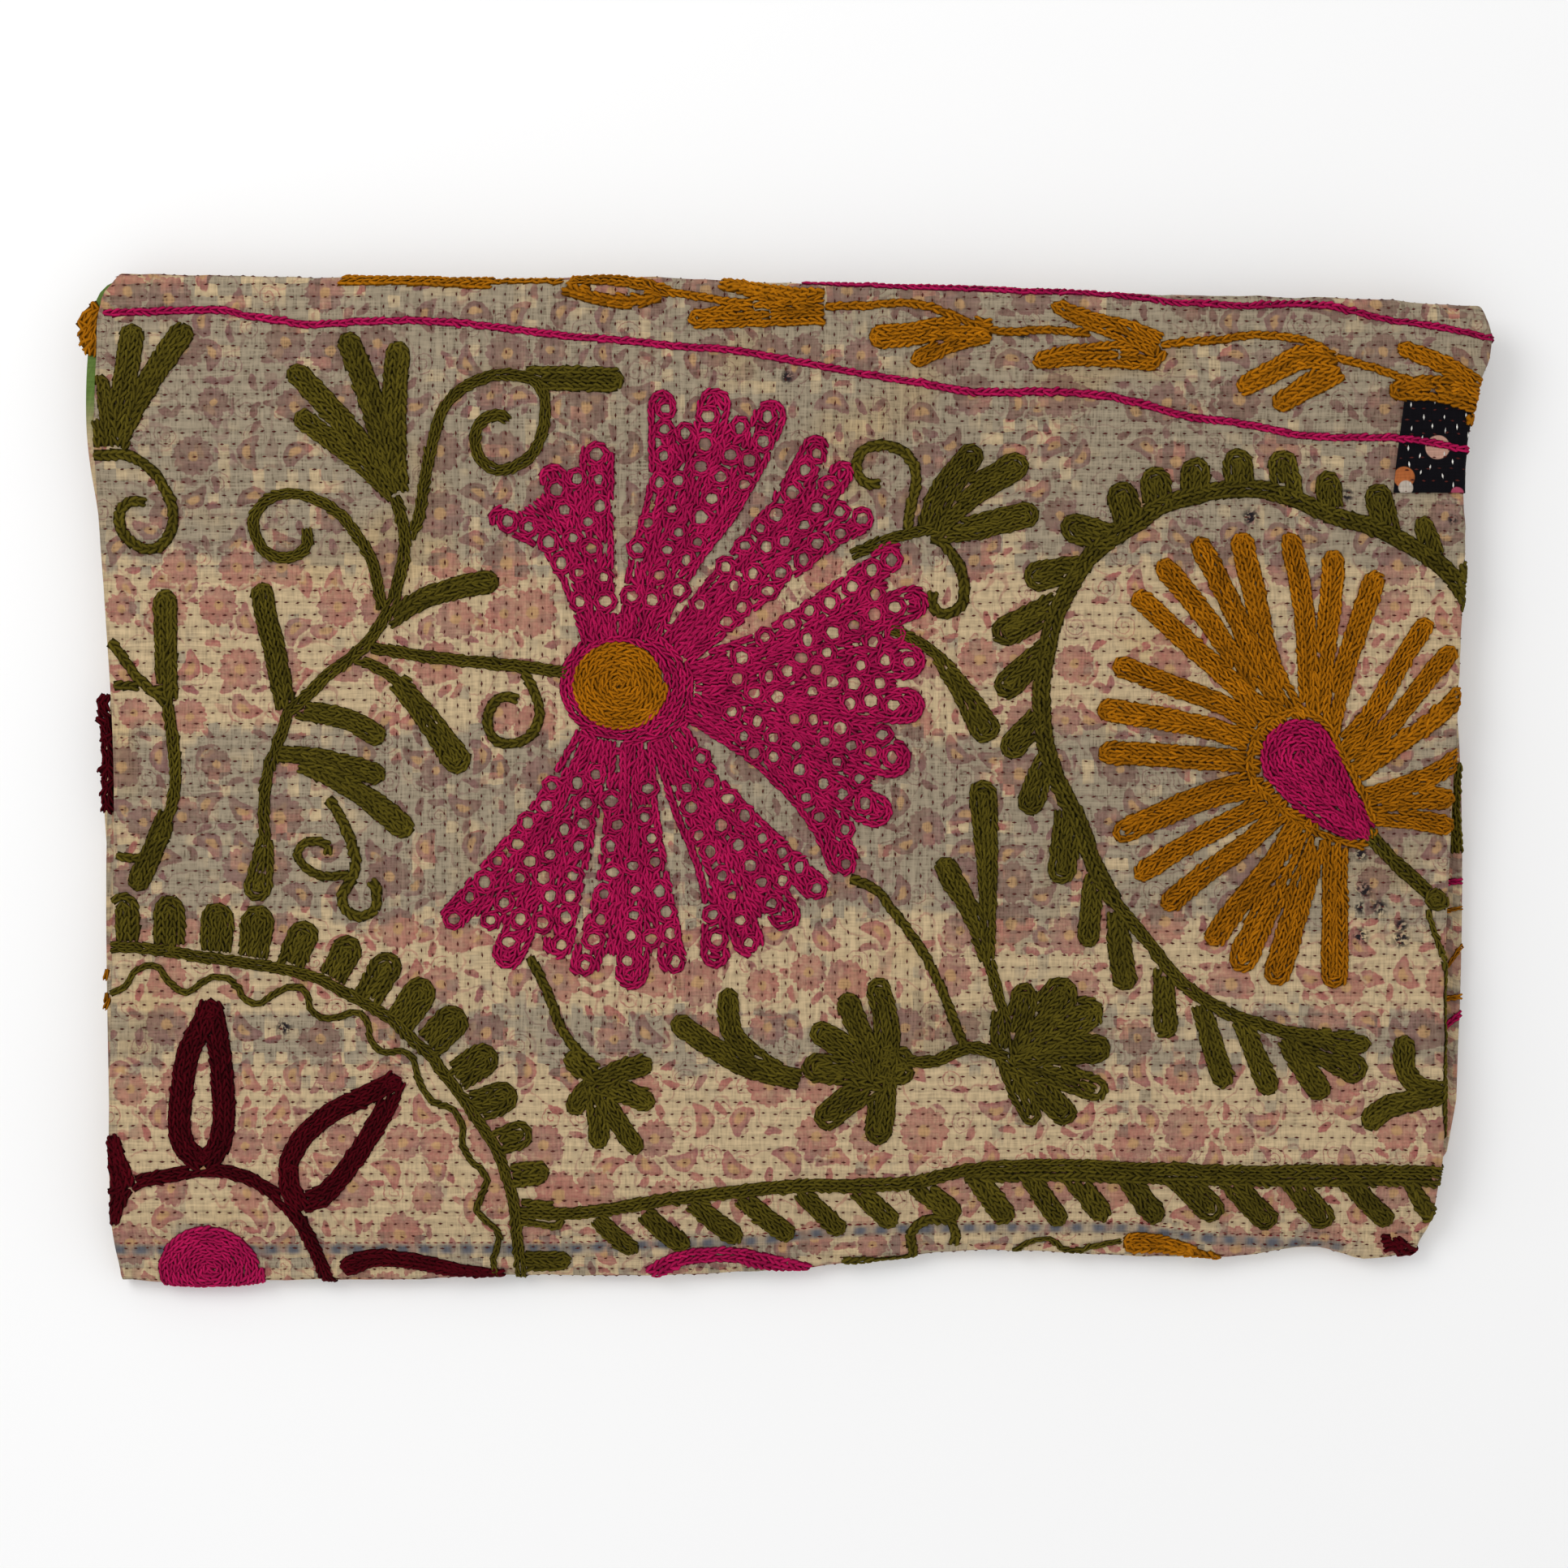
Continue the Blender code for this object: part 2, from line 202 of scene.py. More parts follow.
# The large flower: seven petals, each a fan of fingers that part only near their tips.
FLOWER_PETALS = (
    (
        Lobe(22, 34, ((728, 792), (712, 735), (678, 672), (602, 630))),
        Lobe(22, 36, ((738, 790), (725, 715), (697, 640), (677, 568))),
        Lobe(22, 44, ((750, 785), (742, 700), (737, 620), (735, 540))),
    ),
    (
        Lobe(22, 36, ((772, 785), (785, 700), (812, 600), (817, 480))),
        Lobe(22, 42, ((785, 785), (815, 700), (855, 600), (886, 478))),
        Lobe(22, 42, ((800, 785), (850, 690), (905, 610), (957, 494))),
    ),
    (
        Lobe(22, 36, ((825, 790), (890, 710), (965, 620), (1013, 536))),
        Lobe(22, 32, ((832, 800), (905, 725), (985, 650), (1048, 568))),
        Lobe(22, 34, ((845, 810), (910, 755), (1000, 678), (1080, 630))),
    ),
    (
        Lobe(24, 38, ((850, 820), (950, 785), (1040, 728), (1112, 674))),
        Lobe(24, 44, ((855, 832), (960, 800), (1060, 765), (1144, 735))),
        Lobe(24, 48, ((857, 842), (960, 830), (1060, 818), (1141, 812))),
        Lobe(24, 46, ((857, 852), (960, 860), (1060, 868), (1141, 870))),
        Lobe(24, 50, ((855, 862), (950, 893), (1040, 920), (1123, 940))),
        Lobe(24, 44, ((850, 872), (940, 920), (1020, 968), (1098, 1009))),
        Lobe(24, 42, ((850, 878), (935, 930), (1010, 1005), (1047, 1081))),
    ),
    (
        Lobe(24, 36, ((835, 900), (885, 972), (945, 1035), (1018, 1108))),
        Lobe(24, 42, ((828, 905), (870, 985), (925, 1060), (977, 1144))),
        Lobe(24, 40, ((818, 910), (855, 1000), (895, 1090), (930, 1180))),
        Lobe(22, 38, ((812, 915), (838, 990), (878, 1090), (881, 1194))),
    ),
    (
        Lobe(22, 36, ((795, 915), (799, 1000), (814, 1100), (832, 1204))),
        Lobe(22, 42, ((780, 918), (782, 1010), (783, 1120), (778, 1220))),
        Lobe(22, 38, ((762, 915), (757, 1010), (745, 1110), (714, 1208))),
    ),
    (
        Lobe(22, 40, ((742, 912), (725, 1000), (703, 1090), (684, 1184))),
        Lobe(22, 42, ((732, 912), (700, 1000), (665, 1090), (618, 1193))),
        Lobe(22, 36, ((720, 905), (680, 975), (625, 1050), (545, 1147))),
    ),
)
MAGENTA_LOBES = (
    Lobe(40, 96, ((1664, 1008), (1645, 985), (1615, 950), (1569, 896))),
    Lobe(30, 56, ((1680, 1026), (1668, 1010), (1650, 985), (1625, 955))),
    Lobe(20, 44, ((1672, 1028), (1640, 1009), (1608, 982), (1578, 944))),
    Lobe(8, 24, ((1685, 1036), (1680, 1026), (1668, 1010))),
)
# One row of ochre that follows the near side of the drop-shaped magenta heart.
HEART_EDGE = Line(9, ((1552, 968), (1566, 986), (1592, 1008), (1622, 1025), (1652, 1036), (1680, 1042)))
DOME = Disc(254, 1567, 140, 128)
MAGENTA_LINES = (
    Line(9, ((112, 388), (270, 384), (300, 390), (350, 397), (385, 402), (450, 398), (520, 397),
        (580, 401), (620, 406), (690, 415), (750, 420), (850, 430), (900, 433), (980, 447), (1085, 466),
        (1149, 476), (1200, 484), (1300, 484), (1347, 487), (1385, 493), (1461, 512), (1510, 518),
        (1556, 526), (1602, 535), (1651, 538), (1708, 538), (1746, 541), (1784, 548), (1822, 557))),
    Line(8, ((985, 345), (1050, 350), (1100, 353), (1149, 356), (1200, 357), (1252, 360), (1301, 361),
        (1351, 363), (1400, 368), (1442, 374), (1480, 376), (1537, 379), (1594, 377), (1632, 379),
        (1670, 387), (1708, 396), (1765, 404), (1852, 422))),
    Line(22, ((800, 1576), (827, 1559), (853, 1551), (900, 1549), (950, 1560), (998, 1573))),
)
OCHRE_LOBES = (
    Lobe(24, 27, ((1590, 908), (1547, 867), (1470, 797), (1397, 730))),
    Lobe(24, 28, ((1597, 902), (1547, 850), (1487, 762), (1427, 689))),
    Lobe(24, 27, ((1602, 897), (1560, 840), (1517, 745), (1474, 662))),
    Lobe(24, 30, ((1607, 895), (1566, 820), (1545, 730), (1527, 654))),
    Lobe(24, 27, ((1613, 893), (1612, 830), (1605, 740), (1588, 656))),
    Lobe(26, 28, ((1625, 895), (1630, 820), (1640, 740), (1644, 676))),
    Lobe(26, 28, ((1638, 900), (1655, 830), (1678, 760), (1698, 702))),
    Lobe(24, 24, ((1652, 920), (1690, 880), (1730, 810), (1762, 762))),
    Lobe(22, 25, ((1660, 940), (1712, 895), (1760, 835), (1793, 796))),
    Lobe(22, 22, ((1666, 958), (1720, 920), (1770, 885), (1806, 846))),
    Lobe(24, 24, ((1676, 985), (1730, 968), (1775, 950), (1808, 924))),
    Lobe(24, 28, ((1684, 992), (1740, 984), (1794, 984))),
    Lobe(24, 25, ((1688, 1005), (1740, 1010), (1794, 1019))),
    Lobe(24, 27, ((1562, 905), (1510, 870), (1440, 843), (1371, 817))),
    Lobe(26, 29, ((1556, 920), (1500, 900), (1430, 885), (1351, 873))),
    Lobe(28, 29, ((1553, 940), (1490, 935), (1420, 930), (1352, 927))),
    Lobe(34, 29, ((1566, 962), (1500, 977), (1440, 1000), (1371, 1031))),
    Lobe(26, 25, ((1576, 980), (1520, 1010), (1455, 1045), (1397, 1082))),
    Lobe(24, 27, ((1588, 992), (1535, 1040), (1480, 1080), (1431, 1121))),
    Lobe(24, 29, ((1603, 1005), (1570, 1060), (1530, 1110), (1489, 1165))),
    Lobe(28, 36, ((1614, 1010), (1590, 1070), (1555, 1130), (1524, 1199))),
    Lobe(28, 34, ((1625, 1015), (1610, 1080), (1590, 1145), (1569, 1215))),
    Lobe(30, 34, ((1648, 1026), (1645, 1080), (1645, 1150), (1644, 1219))),
    Lobe(14, 14, ((824, 362), (790, 352), (745, 346), (695, 346))),
    Lobe(13, 13, ((815, 368), (790, 372), (765, 373), (730, 366), (690, 354))),
    Lobe(36, 25, ((1014, 384), (960, 388), (910, 391), (846, 396))),
    Lobe(32, 14, ((1012, 374), (970, 368), (930, 360), (880, 345))),
    Lobe(28, 30, ((1220, 409), (1160, 407), (1119, 414), (1068, 418))),
    Lobe(26, 22, ((1216, 413), (1176, 422), (1146, 436), (1121, 450))),
    Lobe(34, 19, ((1425, 427), (1390, 412), (1340, 396), (1293, 376))),
    Lobe(38, 22, ((1422, 440), (1366, 439), (1320, 440), (1270, 448))),
    Lobe(30, 20, ((1425, 430), (1415, 446), (1398, 459))),
    Lobe(32, 25, ((1645, 446), (1602, 442), (1565, 460), (1521, 482))),
    Lobe(32, 25, ((1648, 456), (1621, 470), (1594, 486), (1565, 502))),
    Lobe(26, 21, ((1834, 492), (1803, 467), (1765, 446), (1717, 428))),
    Lobe(40, 25, ((1836, 504), (1803, 486), (1760, 479), (1707, 483))),
    Lobe(30, 16, ((1826, 478), (1815, 505), (1808, 526))),
    Lobe(8, 31, ((1512, 1556), (1470, 1545), (1430, 1535), (1385, 1533))),
)
OCHRE_LINES = (
    Line(16, ((415, 346), (455, 346), (500, 346), (540, 348), (604, 351))),
    Line(7, ((604, 350), (650, 348), (690, 350))),
    Line(10, ((822, 361), (850, 365), (875, 370), (900, 374), (927, 374))),
    Line(10, ((1018, 380), (1067, 378), (1120, 375), (1157, 384), (1190, 397), (1214, 406), (1241, 411),
        (1290, 408), (1340, 413))),
    Line(10, ((1430, 427), (1461, 423), (1499, 421), (1537, 415), (1575, 417), (1605, 421), (1624, 429),
        (1640, 440))),
    Line(10, ((1645, 443), (1681, 452), (1708, 461), (1738, 471), (1765, 475))),
    Line(10, ((1560, 888), (1545, 915), (1540, 950), (1556, 978), (1585, 998), (1620, 1014),
        (1655, 1034), (1680, 1040), (1694, 1022), (1684, 990), (1668, 955), (1652, 925), (1640, 898),
        (1620, 882), (1596, 876), (1575, 882), (1560, 890))),
)
OLIVE_LOBES = (
    Lobe(30, 24, ((132, 548), (130, 520), (124, 460))),
    Lobe(30, 31, ((142, 548), (150, 500), (160, 450), (167, 399))),
    Lobe(24, 32, ((146, 548), (170, 500), (200, 450), (235, 401))),
    Lobe(28, 29, ((487, 606), (440, 540), (400, 495), (359, 452))),
    Lobe(26, 25, ((487, 610), (450, 572), (410, 542), (365, 510))),
    Lobe(32, 29, ((485, 602), (470, 530), (450, 470), (426, 411))),
    Lobe(32, 30, ((487, 604), (486, 540), (488, 480), (493, 421))),
    Lobe(30, 31, ((650, 468), (700, 468), (771, 470))),
    Lobe(22, 30, ((478, 766), (520, 738), (565, 724), (615, 714))),
    Lobe(26, 28, ((352, 872), (338, 800), (328, 760), (321, 716))),
    Lobe(26, 30, ((206, 860), (204, 800), (203, 726))),
    Lobe(24, 30, ((206, 1002), (187, 1050), (164, 1099))),
    Lobe(24, 28, ((358, 873), (430, 887), (474, 914))),
    Lobe(24, 36, ((490, 840), (530, 890), (573, 951))),
    Lobe(22, 36, ((326, 1035), (322, 1070), (314, 1112))),
    Lobe(20, 28, ((343, 928), (400, 935), (476, 958))),
    Lobe(22, 32, ((372, 941), (440, 975), (508, 1028))),
    Lobe(34, 34, ((1146, 650), (1160, 610), (1182, 580), (1206, 547))),
    Lobe(34, 36, ((1148, 652), (1180, 620), (1220, 592), (1266, 565))),
    Lobe(30, 33, ((1148, 655), (1200, 650), (1240, 640), (1282, 631))),
    Lobe(18, 38, ((1157, 811), (1185, 850), (1223, 914))),
    Lobe(14, 35, ((1219, 1190), (1217, 1130), (1216, 1060), (1210, 960))),
    Lobe(20, 30, ((1216, 1182), (1200, 1130), (1177, 1090), (1158, 1055))),
    Lobe(28, 28, ((735, 1335), (770, 1318), (806, 1311))),
    Lobe(28, 28, ((735, 1335), (770, 1346), (807, 1363))),
    Lobe(26, 24, ((735, 1338), (760, 1380), (789, 1421))),
    Lobe(28, 26, ((733, 1338), (737, 1375), (738, 1417))),
    Lobe(28, 28, ((732, 1335), (715, 1355), (702, 1374))),
    Lobe(32, 30, ((735, 1330), (718, 1315), (698, 1297))),
    Lobe(26, 28, ((985, 1331), (923, 1315), (873, 1287), (827, 1254))),
    Lobe(26, 27, ((965, 1328), (923, 1297), (900, 1267), (897, 1216))),
    Lobe(34, 30, ((1088, 1330), (1093, 1270), (1079, 1203))),
    Lobe(30, 28, ((1084, 1328), (1063, 1280), (1040, 1222))),
    Lobe(34, 32, ((1082, 1325), (1050, 1297), (999, 1265))),
    Lobe(38, 36, ((1088, 1327), (1040, 1320), (988, 1313))),
    Lobe(34, 36, ((1086, 1332), (1050, 1352), (1007, 1387))),
    Lobe(36, 34, ((1087, 1330), (1086, 1365), (1080, 1412))),
    Lobe(44, 50, ((1068, 1308), (1098, 1312), (1130, 1316))),
    Lobe(34, 34, ((1245, 1290), (1258, 1250), (1264, 1210))),
    Lobe(44, 46, ((1250, 1285), (1288, 1247), (1321, 1208))),
    Lobe(44, 46, ((1250, 1288), (1305, 1263), (1359, 1240))),
    Lobe(44, 36, ((1250, 1295), (1310, 1292), (1369, 1293))),
    Lobe(38, 32, ((1250, 1305), (1305, 1325), (1366, 1347))),
    Lobe(36, 32, ((1248, 1302), (1280, 1340), (1323, 1383))),
    Lobe(34, 26, ((1242, 1300), (1255, 1340), (1276, 1387))),
    Lobe(30, 24, ((1240, 1300), (1232, 1270), (1240, 1238))),
    Lobe(22, 28, ((1786, 1345), (1748, 1338), (1732, 1318), (1730, 1274))),
    Lobe(22, 30, ((1786, 1348), (1740, 1357), (1707, 1366), (1680, 1391))),
)
KNOB = Disc(1770, 1107, 36, 36)
OLIVE_LINES = (
    Line(13, ((118, 560), (140, 560), (160, 560), (185, 575), (205, 605), (213, 635), (205, 665),
        (185, 677), (165, 670), (148, 650), (148, 630), (160, 617), (178, 618))),
    Line(15, ((487, 612), (497, 650), (500, 672))),
    Line(14, ((500, 670), (515, 640), (522, 600), (530, 560), (545, 510), (565, 485), (590, 470),
        (620, 463), (650, 467), (668, 480), (673, 505), (668, 535), (655, 560), (635, 573), (615, 578),
        (597, 570), (587, 550), (588, 530), (600, 515), (620, 512), (625, 518))),
    Line(14, ((470, 750), (465, 720), (458, 690), (440, 660), (420, 635), (395, 618), (365, 608),
        (340, 610), (322, 622), (312, 640), (315, 660), (325, 678), (345, 687), (365, 685), (378, 672),
        (378, 652))),
    Line(15, ((498, 672), (497, 690), (492, 710), (482, 745), (465, 775), (450, 795), (430, 812),
        (400, 835), (375, 860), (355, 877))),
    Line(15, ((450, 797), (500, 805), (550, 812), (600, 817), (650, 822), (698, 829))),
    Line(12, ((130, 783), (150, 808), (165, 830), (185, 850), (204, 866))),
    Line(11, ((130, 843), (160, 845), (200, 850))),
    Line(15, ((204, 860), (210, 890), (215, 930), (216, 960), (212, 990), (205, 1010))),
    Line(11, ((122, 1034), (145, 1055), (172, 1058))),
    Line(14, ((438, 812), (470, 825), (497, 846))),
    Line(14, ((355, 876), (345, 910), (335, 935), (328, 960), (325, 1000), (326, 1040))),
    Line(13, ((405, 985), (415, 1000), (430, 1030), (438, 1060), (435, 1080), (425, 1095), (422, 1110),
        (430, 1125), (445, 1130), (462, 1120), (465, 1100), (458, 1085))),
    Line(11, ((430, 1078), (400, 1080), (380, 1072), (367, 1055), (370, 1042), (385, 1036), (403, 1040),
        (404, 1052))),
    Line(12, ((640, 822), (655, 845), (665, 880), (655, 905), (630, 917), (608, 910), (600, 890),
        (605, 870), (620, 858), (637, 862))),
    Line(14, ((1050, 684), (1080, 670), (1100, 663), (1130, 655), (1150, 652))),
    Line(13, ((1118, 652), (1122, 625), (1128, 600), (1127, 575), (1115, 557), (1090, 547), (1065, 552),
        (1055, 568), (1057, 585), (1070, 597), (1083, 595))),
    Line(13, ((1140, 657), (1160, 668), (1178, 690), (1188, 715), (1187, 740), (1178, 752), (1160, 757),
        (1148, 745), (1150, 730))),
    Line(14, ((1097, 775), (1120, 785), (1145, 800), (1160, 812))),
    Line(12, ((653, 1180), (667, 1207), (680, 1237), (693, 1270), (707, 1290), (720, 1303))),
    Line(15, ((1118, 1307), (1150, 1308), (1173, 1298), (1190, 1291), (1213, 1293), (1240, 1303))),
    Line(12, ((1048, 1082), (1080, 1097), (1100, 1122), (1120, 1148), (1140, 1178), (1155, 1207),
        (1167, 1235), (1177, 1263), (1188, 1288))),
    Line(14, ((1219, 1185), (1224, 1205), (1231, 1230), (1237, 1255), (1240, 1290))),
    Line(18, ((1683, 1024), (1717, 1060), (1758, 1098))),
    Line(7, ((1757, 1113), (1767, 1147), (1780, 1190), (1783, 1247), (1783, 1297), (1781, 1330),
        (1781, 1380), (1785, 1402))),
    Line(12, ((1040, 1559), (1090, 1560), (1127, 1556), (1123, 1533), (1127, 1513), (1143, 1502),
        (1163, 1500), (1177, 1510), (1179, 1536))),
    Line(7, ((1255, 1548), (1267, 1536), (1283, 1530), (1300, 1532), (1313, 1542), (1333, 1546),
        (1350, 1539), (1384, 1533))),
)
WREATH_LINES = (
    Line(22, ((1373, 1110), (1357, 1083), (1343, 1053), (1330, 1013), (1310, 977), (1297, 947),
        (1288, 917), (1285, 890), (1283, 853), (1287, 820), (1293, 787), (1303, 753), (1320, 720),
        (1337, 693), (1357, 673), (1380, 657), (1407, 640), (1430, 623), (1463, 613), (1500, 605),
        (1530, 602), (1563, 605), (1597, 615), (1630, 631), (1663, 641), (1697, 651), (1730, 668),
        (1753, 681), (1777, 698), (1797, 720), (1812, 748))),
    Line(16, ((1373, 1110), (1397, 1140), (1417, 1163), (1437, 1190), (1463, 1217), (1493, 1237),
        (1523, 1253), (1557, 1263), (1590, 1273), (1630, 1277), (1680, 1284))),
    Line(14, ((118, 1167), (173, 1168), (207, 1172), (240, 1178), (290, 1185), (323, 1190), (353, 1195),
        (390, 1205), (423, 1222), (457, 1240), (487, 1260), (507, 1280), (530, 1300), (550, 1327),
        (570, 1353), (590, 1383), (610, 1413), (623, 1447), (633, 1480), (635, 1513), (637, 1547),
        (640, 1592))),
    Line(8, ((118, 1225), (138, 1223), (153, 1217), (167, 1195), (187, 1190), (200, 1197), (210, 1213),
        (230, 1223), (250, 1210), (270, 1203), (290, 1213), (303, 1233), (320, 1237), (340, 1223),
        (360, 1215), (377, 1223), (383, 1243), (400, 1255), (420, 1252), (440, 1247), (453, 1260),
        (457, 1283), (473, 1297), (497, 1295), (510, 1307), (517, 1333), (533, 1357), (557, 1367),
        (570, 1387), (570, 1413), (583, 1433), (600, 1450), (593, 1473), (587, 1490), (600, 1503),
        (613, 1517), (610, 1540), (605, 1557), (610, 1590))),
    Line(15, ((640, 1492), (700, 1493), (750, 1488), (800, 1480), (850, 1473), (900, 1468), (950, 1463),
        (1000, 1460), (1050, 1460), (1100, 1458), (1133, 1455), (1173, 1445), (1207, 1440),
        (1240, 1437), (1300, 1436), (1350, 1437), (1400, 1440), (1450, 1440), (1500, 1442),
        (1550, 1443), (1600, 1442), (1700, 1442), (1792, 1443))),
    Line(10, ((1180, 1452), (1300, 1449), (1450, 1453), (1600, 1455), (1700, 1455), (1790, 1457))),
)
WREATH_LOBES = (
    Lobe(38, 38, ((1392, 645), (1385, 620), (1380, 592))),
    Lobe(36, 38, ((1428, 626), (1425, 605), (1423, 574))),
    Lobe(36, 37, ((1473, 612), (1473, 590), (1473, 561))),
    Lobe(36, 37, ((1528, 604), (1526, 580), (1524, 550))),
    Lobe(36, 38, ((1588, 612), (1583, 585), (1577, 553))),
    Lobe(32, 33, ((1640, 634), (1637, 605), (1635, 580))),
    Lobe(34, 34, ((1709, 655), (1702, 625), (1694, 595))),
    Lobe(28, 26, ((1768, 692), (1760, 665), (1751, 635))),
    Lobe(22, 22, ((1808, 745), (1810, 715), (1808, 688))),
    Lobe(34, 38, ((1375, 664), (1340, 655), (1307, 645))),
    Lobe(30, 38, ((1330, 700), (1300, 705), (1261, 715))),
    Lobe(34, 38, ((1303, 745), (1265, 765), (1223, 786))),
    Lobe(32, 36, ((1292, 800), (1262, 825), (1229, 857))),
    Lobe(30, 34, ((1286, 878), (1265, 900), (1237, 932))),
    Lobe(28, 34, ((1290, 935), (1278, 965), (1264, 1005))),
    Lobe(34, 36, ((1316, 1000), (1312, 1045), (1306, 1090))),
    Lobe(24, 28, ((1348, 1080), (1344, 1120), (1340, 1169))),
    Lobe(26, 32, ((1377, 1125), (1380, 1170), (1389, 1222))),
    Lobe(26, 31, ((1434, 1195), (1435, 1235), (1438, 1281))),
    Lobe(24, 29, ((1480, 1240), (1495, 1290), (1511, 1341))),
    Lobe(24, 29, ((1530, 1258), (1547, 1300), (1568, 1349))),
    Lobe(26, 32, ((1586, 1280), (1608, 1318), (1635, 1354))),
    Lobe(26, 38, ((1598, 1287), (1640, 1303), (1684, 1325))),
    Lobe(24, 24, ((1590, 1276), (1630, 1281), (1690, 1287))),
    Lobe(40, 40, ((152, 1168), (152, 1140), (150, 1098))),
    Lobe(38, 40, ((208, 1172), (208, 1140), (208, 1102))),
    Lobe(38, 42, ((265, 1180), (267, 1150), (268, 1112))),
    Lobe(36, 42, ((310, 1187), (315, 1155), (319, 1115))),
    Lobe(34, 38, ((355, 1195), (368, 1165), (382, 1135))),
    Lobe(34, 38, ((405, 1212), (420, 1185), (436, 1154))),
    Lobe(36, 40, ((450, 1233), (468, 1205), (486, 1174))),
    Lobe(38, 42, ((493, 1258), (510, 1235), (528, 1206))),
    Lobe(38, 44, ((523, 1292), (545, 1270), (572, 1245))),
    Lobe(38, 42, ((555, 1330), (580, 1315), (611, 1294))),
    Lobe(38, 42, ((575, 1366), (602, 1358), (637, 1346))),
    Lobe(32, 36, ((608, 1410), (630, 1402), (657, 1392))),
    Lobe(30, 31, ((622, 1450), (645, 1447), (678, 1443))),
    Lobe(32, 36, ((632, 1490), (660, 1494), (700, 1498))),
    Lobe(26, 28, ((636, 1556), (665, 1556), (703, 1557))),
    Lobe(22, 25, ((735, 1500), (757, 1522), (784, 1546))),
    Lobe(24, 27, ((794, 1494), (818, 1516), (848, 1540))),
    Lobe(24, 27, ((853, 1480), (882, 1504), (914, 1530))),
    Lobe(24, 27, ((913, 1474), (943, 1498), (978, 1526))),
    Lobe(22, 25, ((986, 1467), (1012, 1492), (1041, 1520))),
    Lobe(24, 27, ((1056, 1464), (1080, 1486), (1107, 1510))),
    Lobe(26, 31, ((1128, 1458), (1156, 1478), (1184, 1500))),
    Lobe(26, 31, ((1203, 1450), (1223, 1475), (1247, 1507))),
    Lobe(24, 27, ((1270, 1450), (1290, 1478), (1313, 1511))),
    Lobe(26, 29, ((1320, 1447), (1342, 1472), (1366, 1503))),
    Lobe(26, 29, ((1388, 1447), (1408, 1474), (1433, 1505))),
    Lobe(32, 35, ((1450, 1447), (1477, 1472), (1507, 1501))),
    Lobe(28, 33, ((1514, 1450), (1542, 1480), (1574, 1513))),
    Lobe(28, 35, ((1592, 1450), (1615, 1480), (1644, 1513))),
    Lobe(22, 27, ((1660, 1450), (1688, 1480), (1720, 1510))),
    Lobe(18, 23, ((1735, 1450), (1752, 1477), (1773, 1508))),
)
MAROON_LOBES = (
    Lobe(14, 27, ((618, 1577), (570, 1571), (530, 1562), (490, 1554), (450, 1553), (415, 1570))),
    Lobe(30, 9, ((152, 1463), (142, 1420), (132, 1376))),
    Lobe(24, 9, ((152, 1463), (142, 1490), (133, 1518))),
    Lobe(20, 14, ((1764, 1572), (1742, 1548), (1720, 1534), (1702, 1538))),
    Lobe(24, 24, ((372, 1488), (356, 1462), (358, 1430))),
)
MAROON_TIPS = (Disc(259, 1241, 30, 32), Disc(486, 1334, 30, 32))
MAROON_LINES = (
    Line(27, ((250, 1434), (228, 1415), (221, 1390), (223, 1350), (231, 1300), (245, 1270), (259, 1238))),
    Line(27, ((250, 1434), (268, 1415), (275, 1385), (275, 1350), (272, 1310), (267, 1275), (260, 1238))),
    Line(24, ((372, 1482), (356, 1462), (357, 1430), (376, 1398), (410, 1370), (450, 1350), (487, 1331))),
    Line(24, ((372, 1482), (402, 1469), (430, 1437), (455, 1400), (475, 1365), (488, 1331))),
    Line(16, ((128, 1478), (170, 1457), (200, 1450), (250, 1442), (290, 1446), (323, 1461), (350, 1481),
        (370, 1507), (383, 1537), (395, 1572), (402, 1596))),
)


# Rows of chain stitch on the chart: ROW is a row's width, PITCH a link's length, both in chart units.
ROW = 9.2
PITCH = 9.4
CURVE_STEP = 1.5
CELL = 2.0
CHART_CELLS = 1000
TOUCH = 5.2
HOLE_STEP = 29.5
HOLE_RIM = (9.8, 12.6)
HOLE_CLEAR = 8.6
WEB_SHARE = 0.87
COLLAR = ((0.97, 1.0), (1.12, 1.0), (1.27, 0.70), (1.42, 0.62), (1.56, 0.30))
SEED = 7

# Running stitches lie on an even lattice. They stand upright in a block of the chart, given by its
# left, right and near sides.
STITCH_PITCH = 14 * CHART_UNIT
STITCH_ROWS = 15 * CHART_UNIT
STITCH_JITTER = 0.3 * MM
UPRIGHT_BLOCK = (470.0, 1180.0, 1290.0)
DIMPLE_LENGTH = 2.6 * MM
TROUGH_WIDTH = 1.7 * MM
DIMPLE_DEPTH = 0.55 * MM
GRAIN_HEIGHTS = (-0.1 * MM, -0.1 * MM, 0.05 * MM, 0.05 * MM, 0.5 * MM, -0.3 * MM)

# The print's motifs: how far apart their cells lie, the share of cells that hold one, and half sizes.
FLOWER_CELL = 26.5 * MM
FLOWER_SHARE = 0.53
KIDNEY_CELL = 22.5 * MM
KIDNEY_SHARE = 0.60
KIDNEY_HALF = (4.6 * MM, 8.8 * MM)
LEAF_CELL = 11.8 * MM
LEAF_SHARE = 0.50
LEAF_HALF = (1.9 * MM, 4.6 * MM)
SPIRAL_CELL = 19.0 * MM
SPIRAL_SHARE = 0.50
SPIRAL_REACH = 6.6 * MM
PETAL_OUT = 6.7 * MM
PETAL_RADIUS = 3.3 * MM
PETAL_HEART = 2.6 * MM

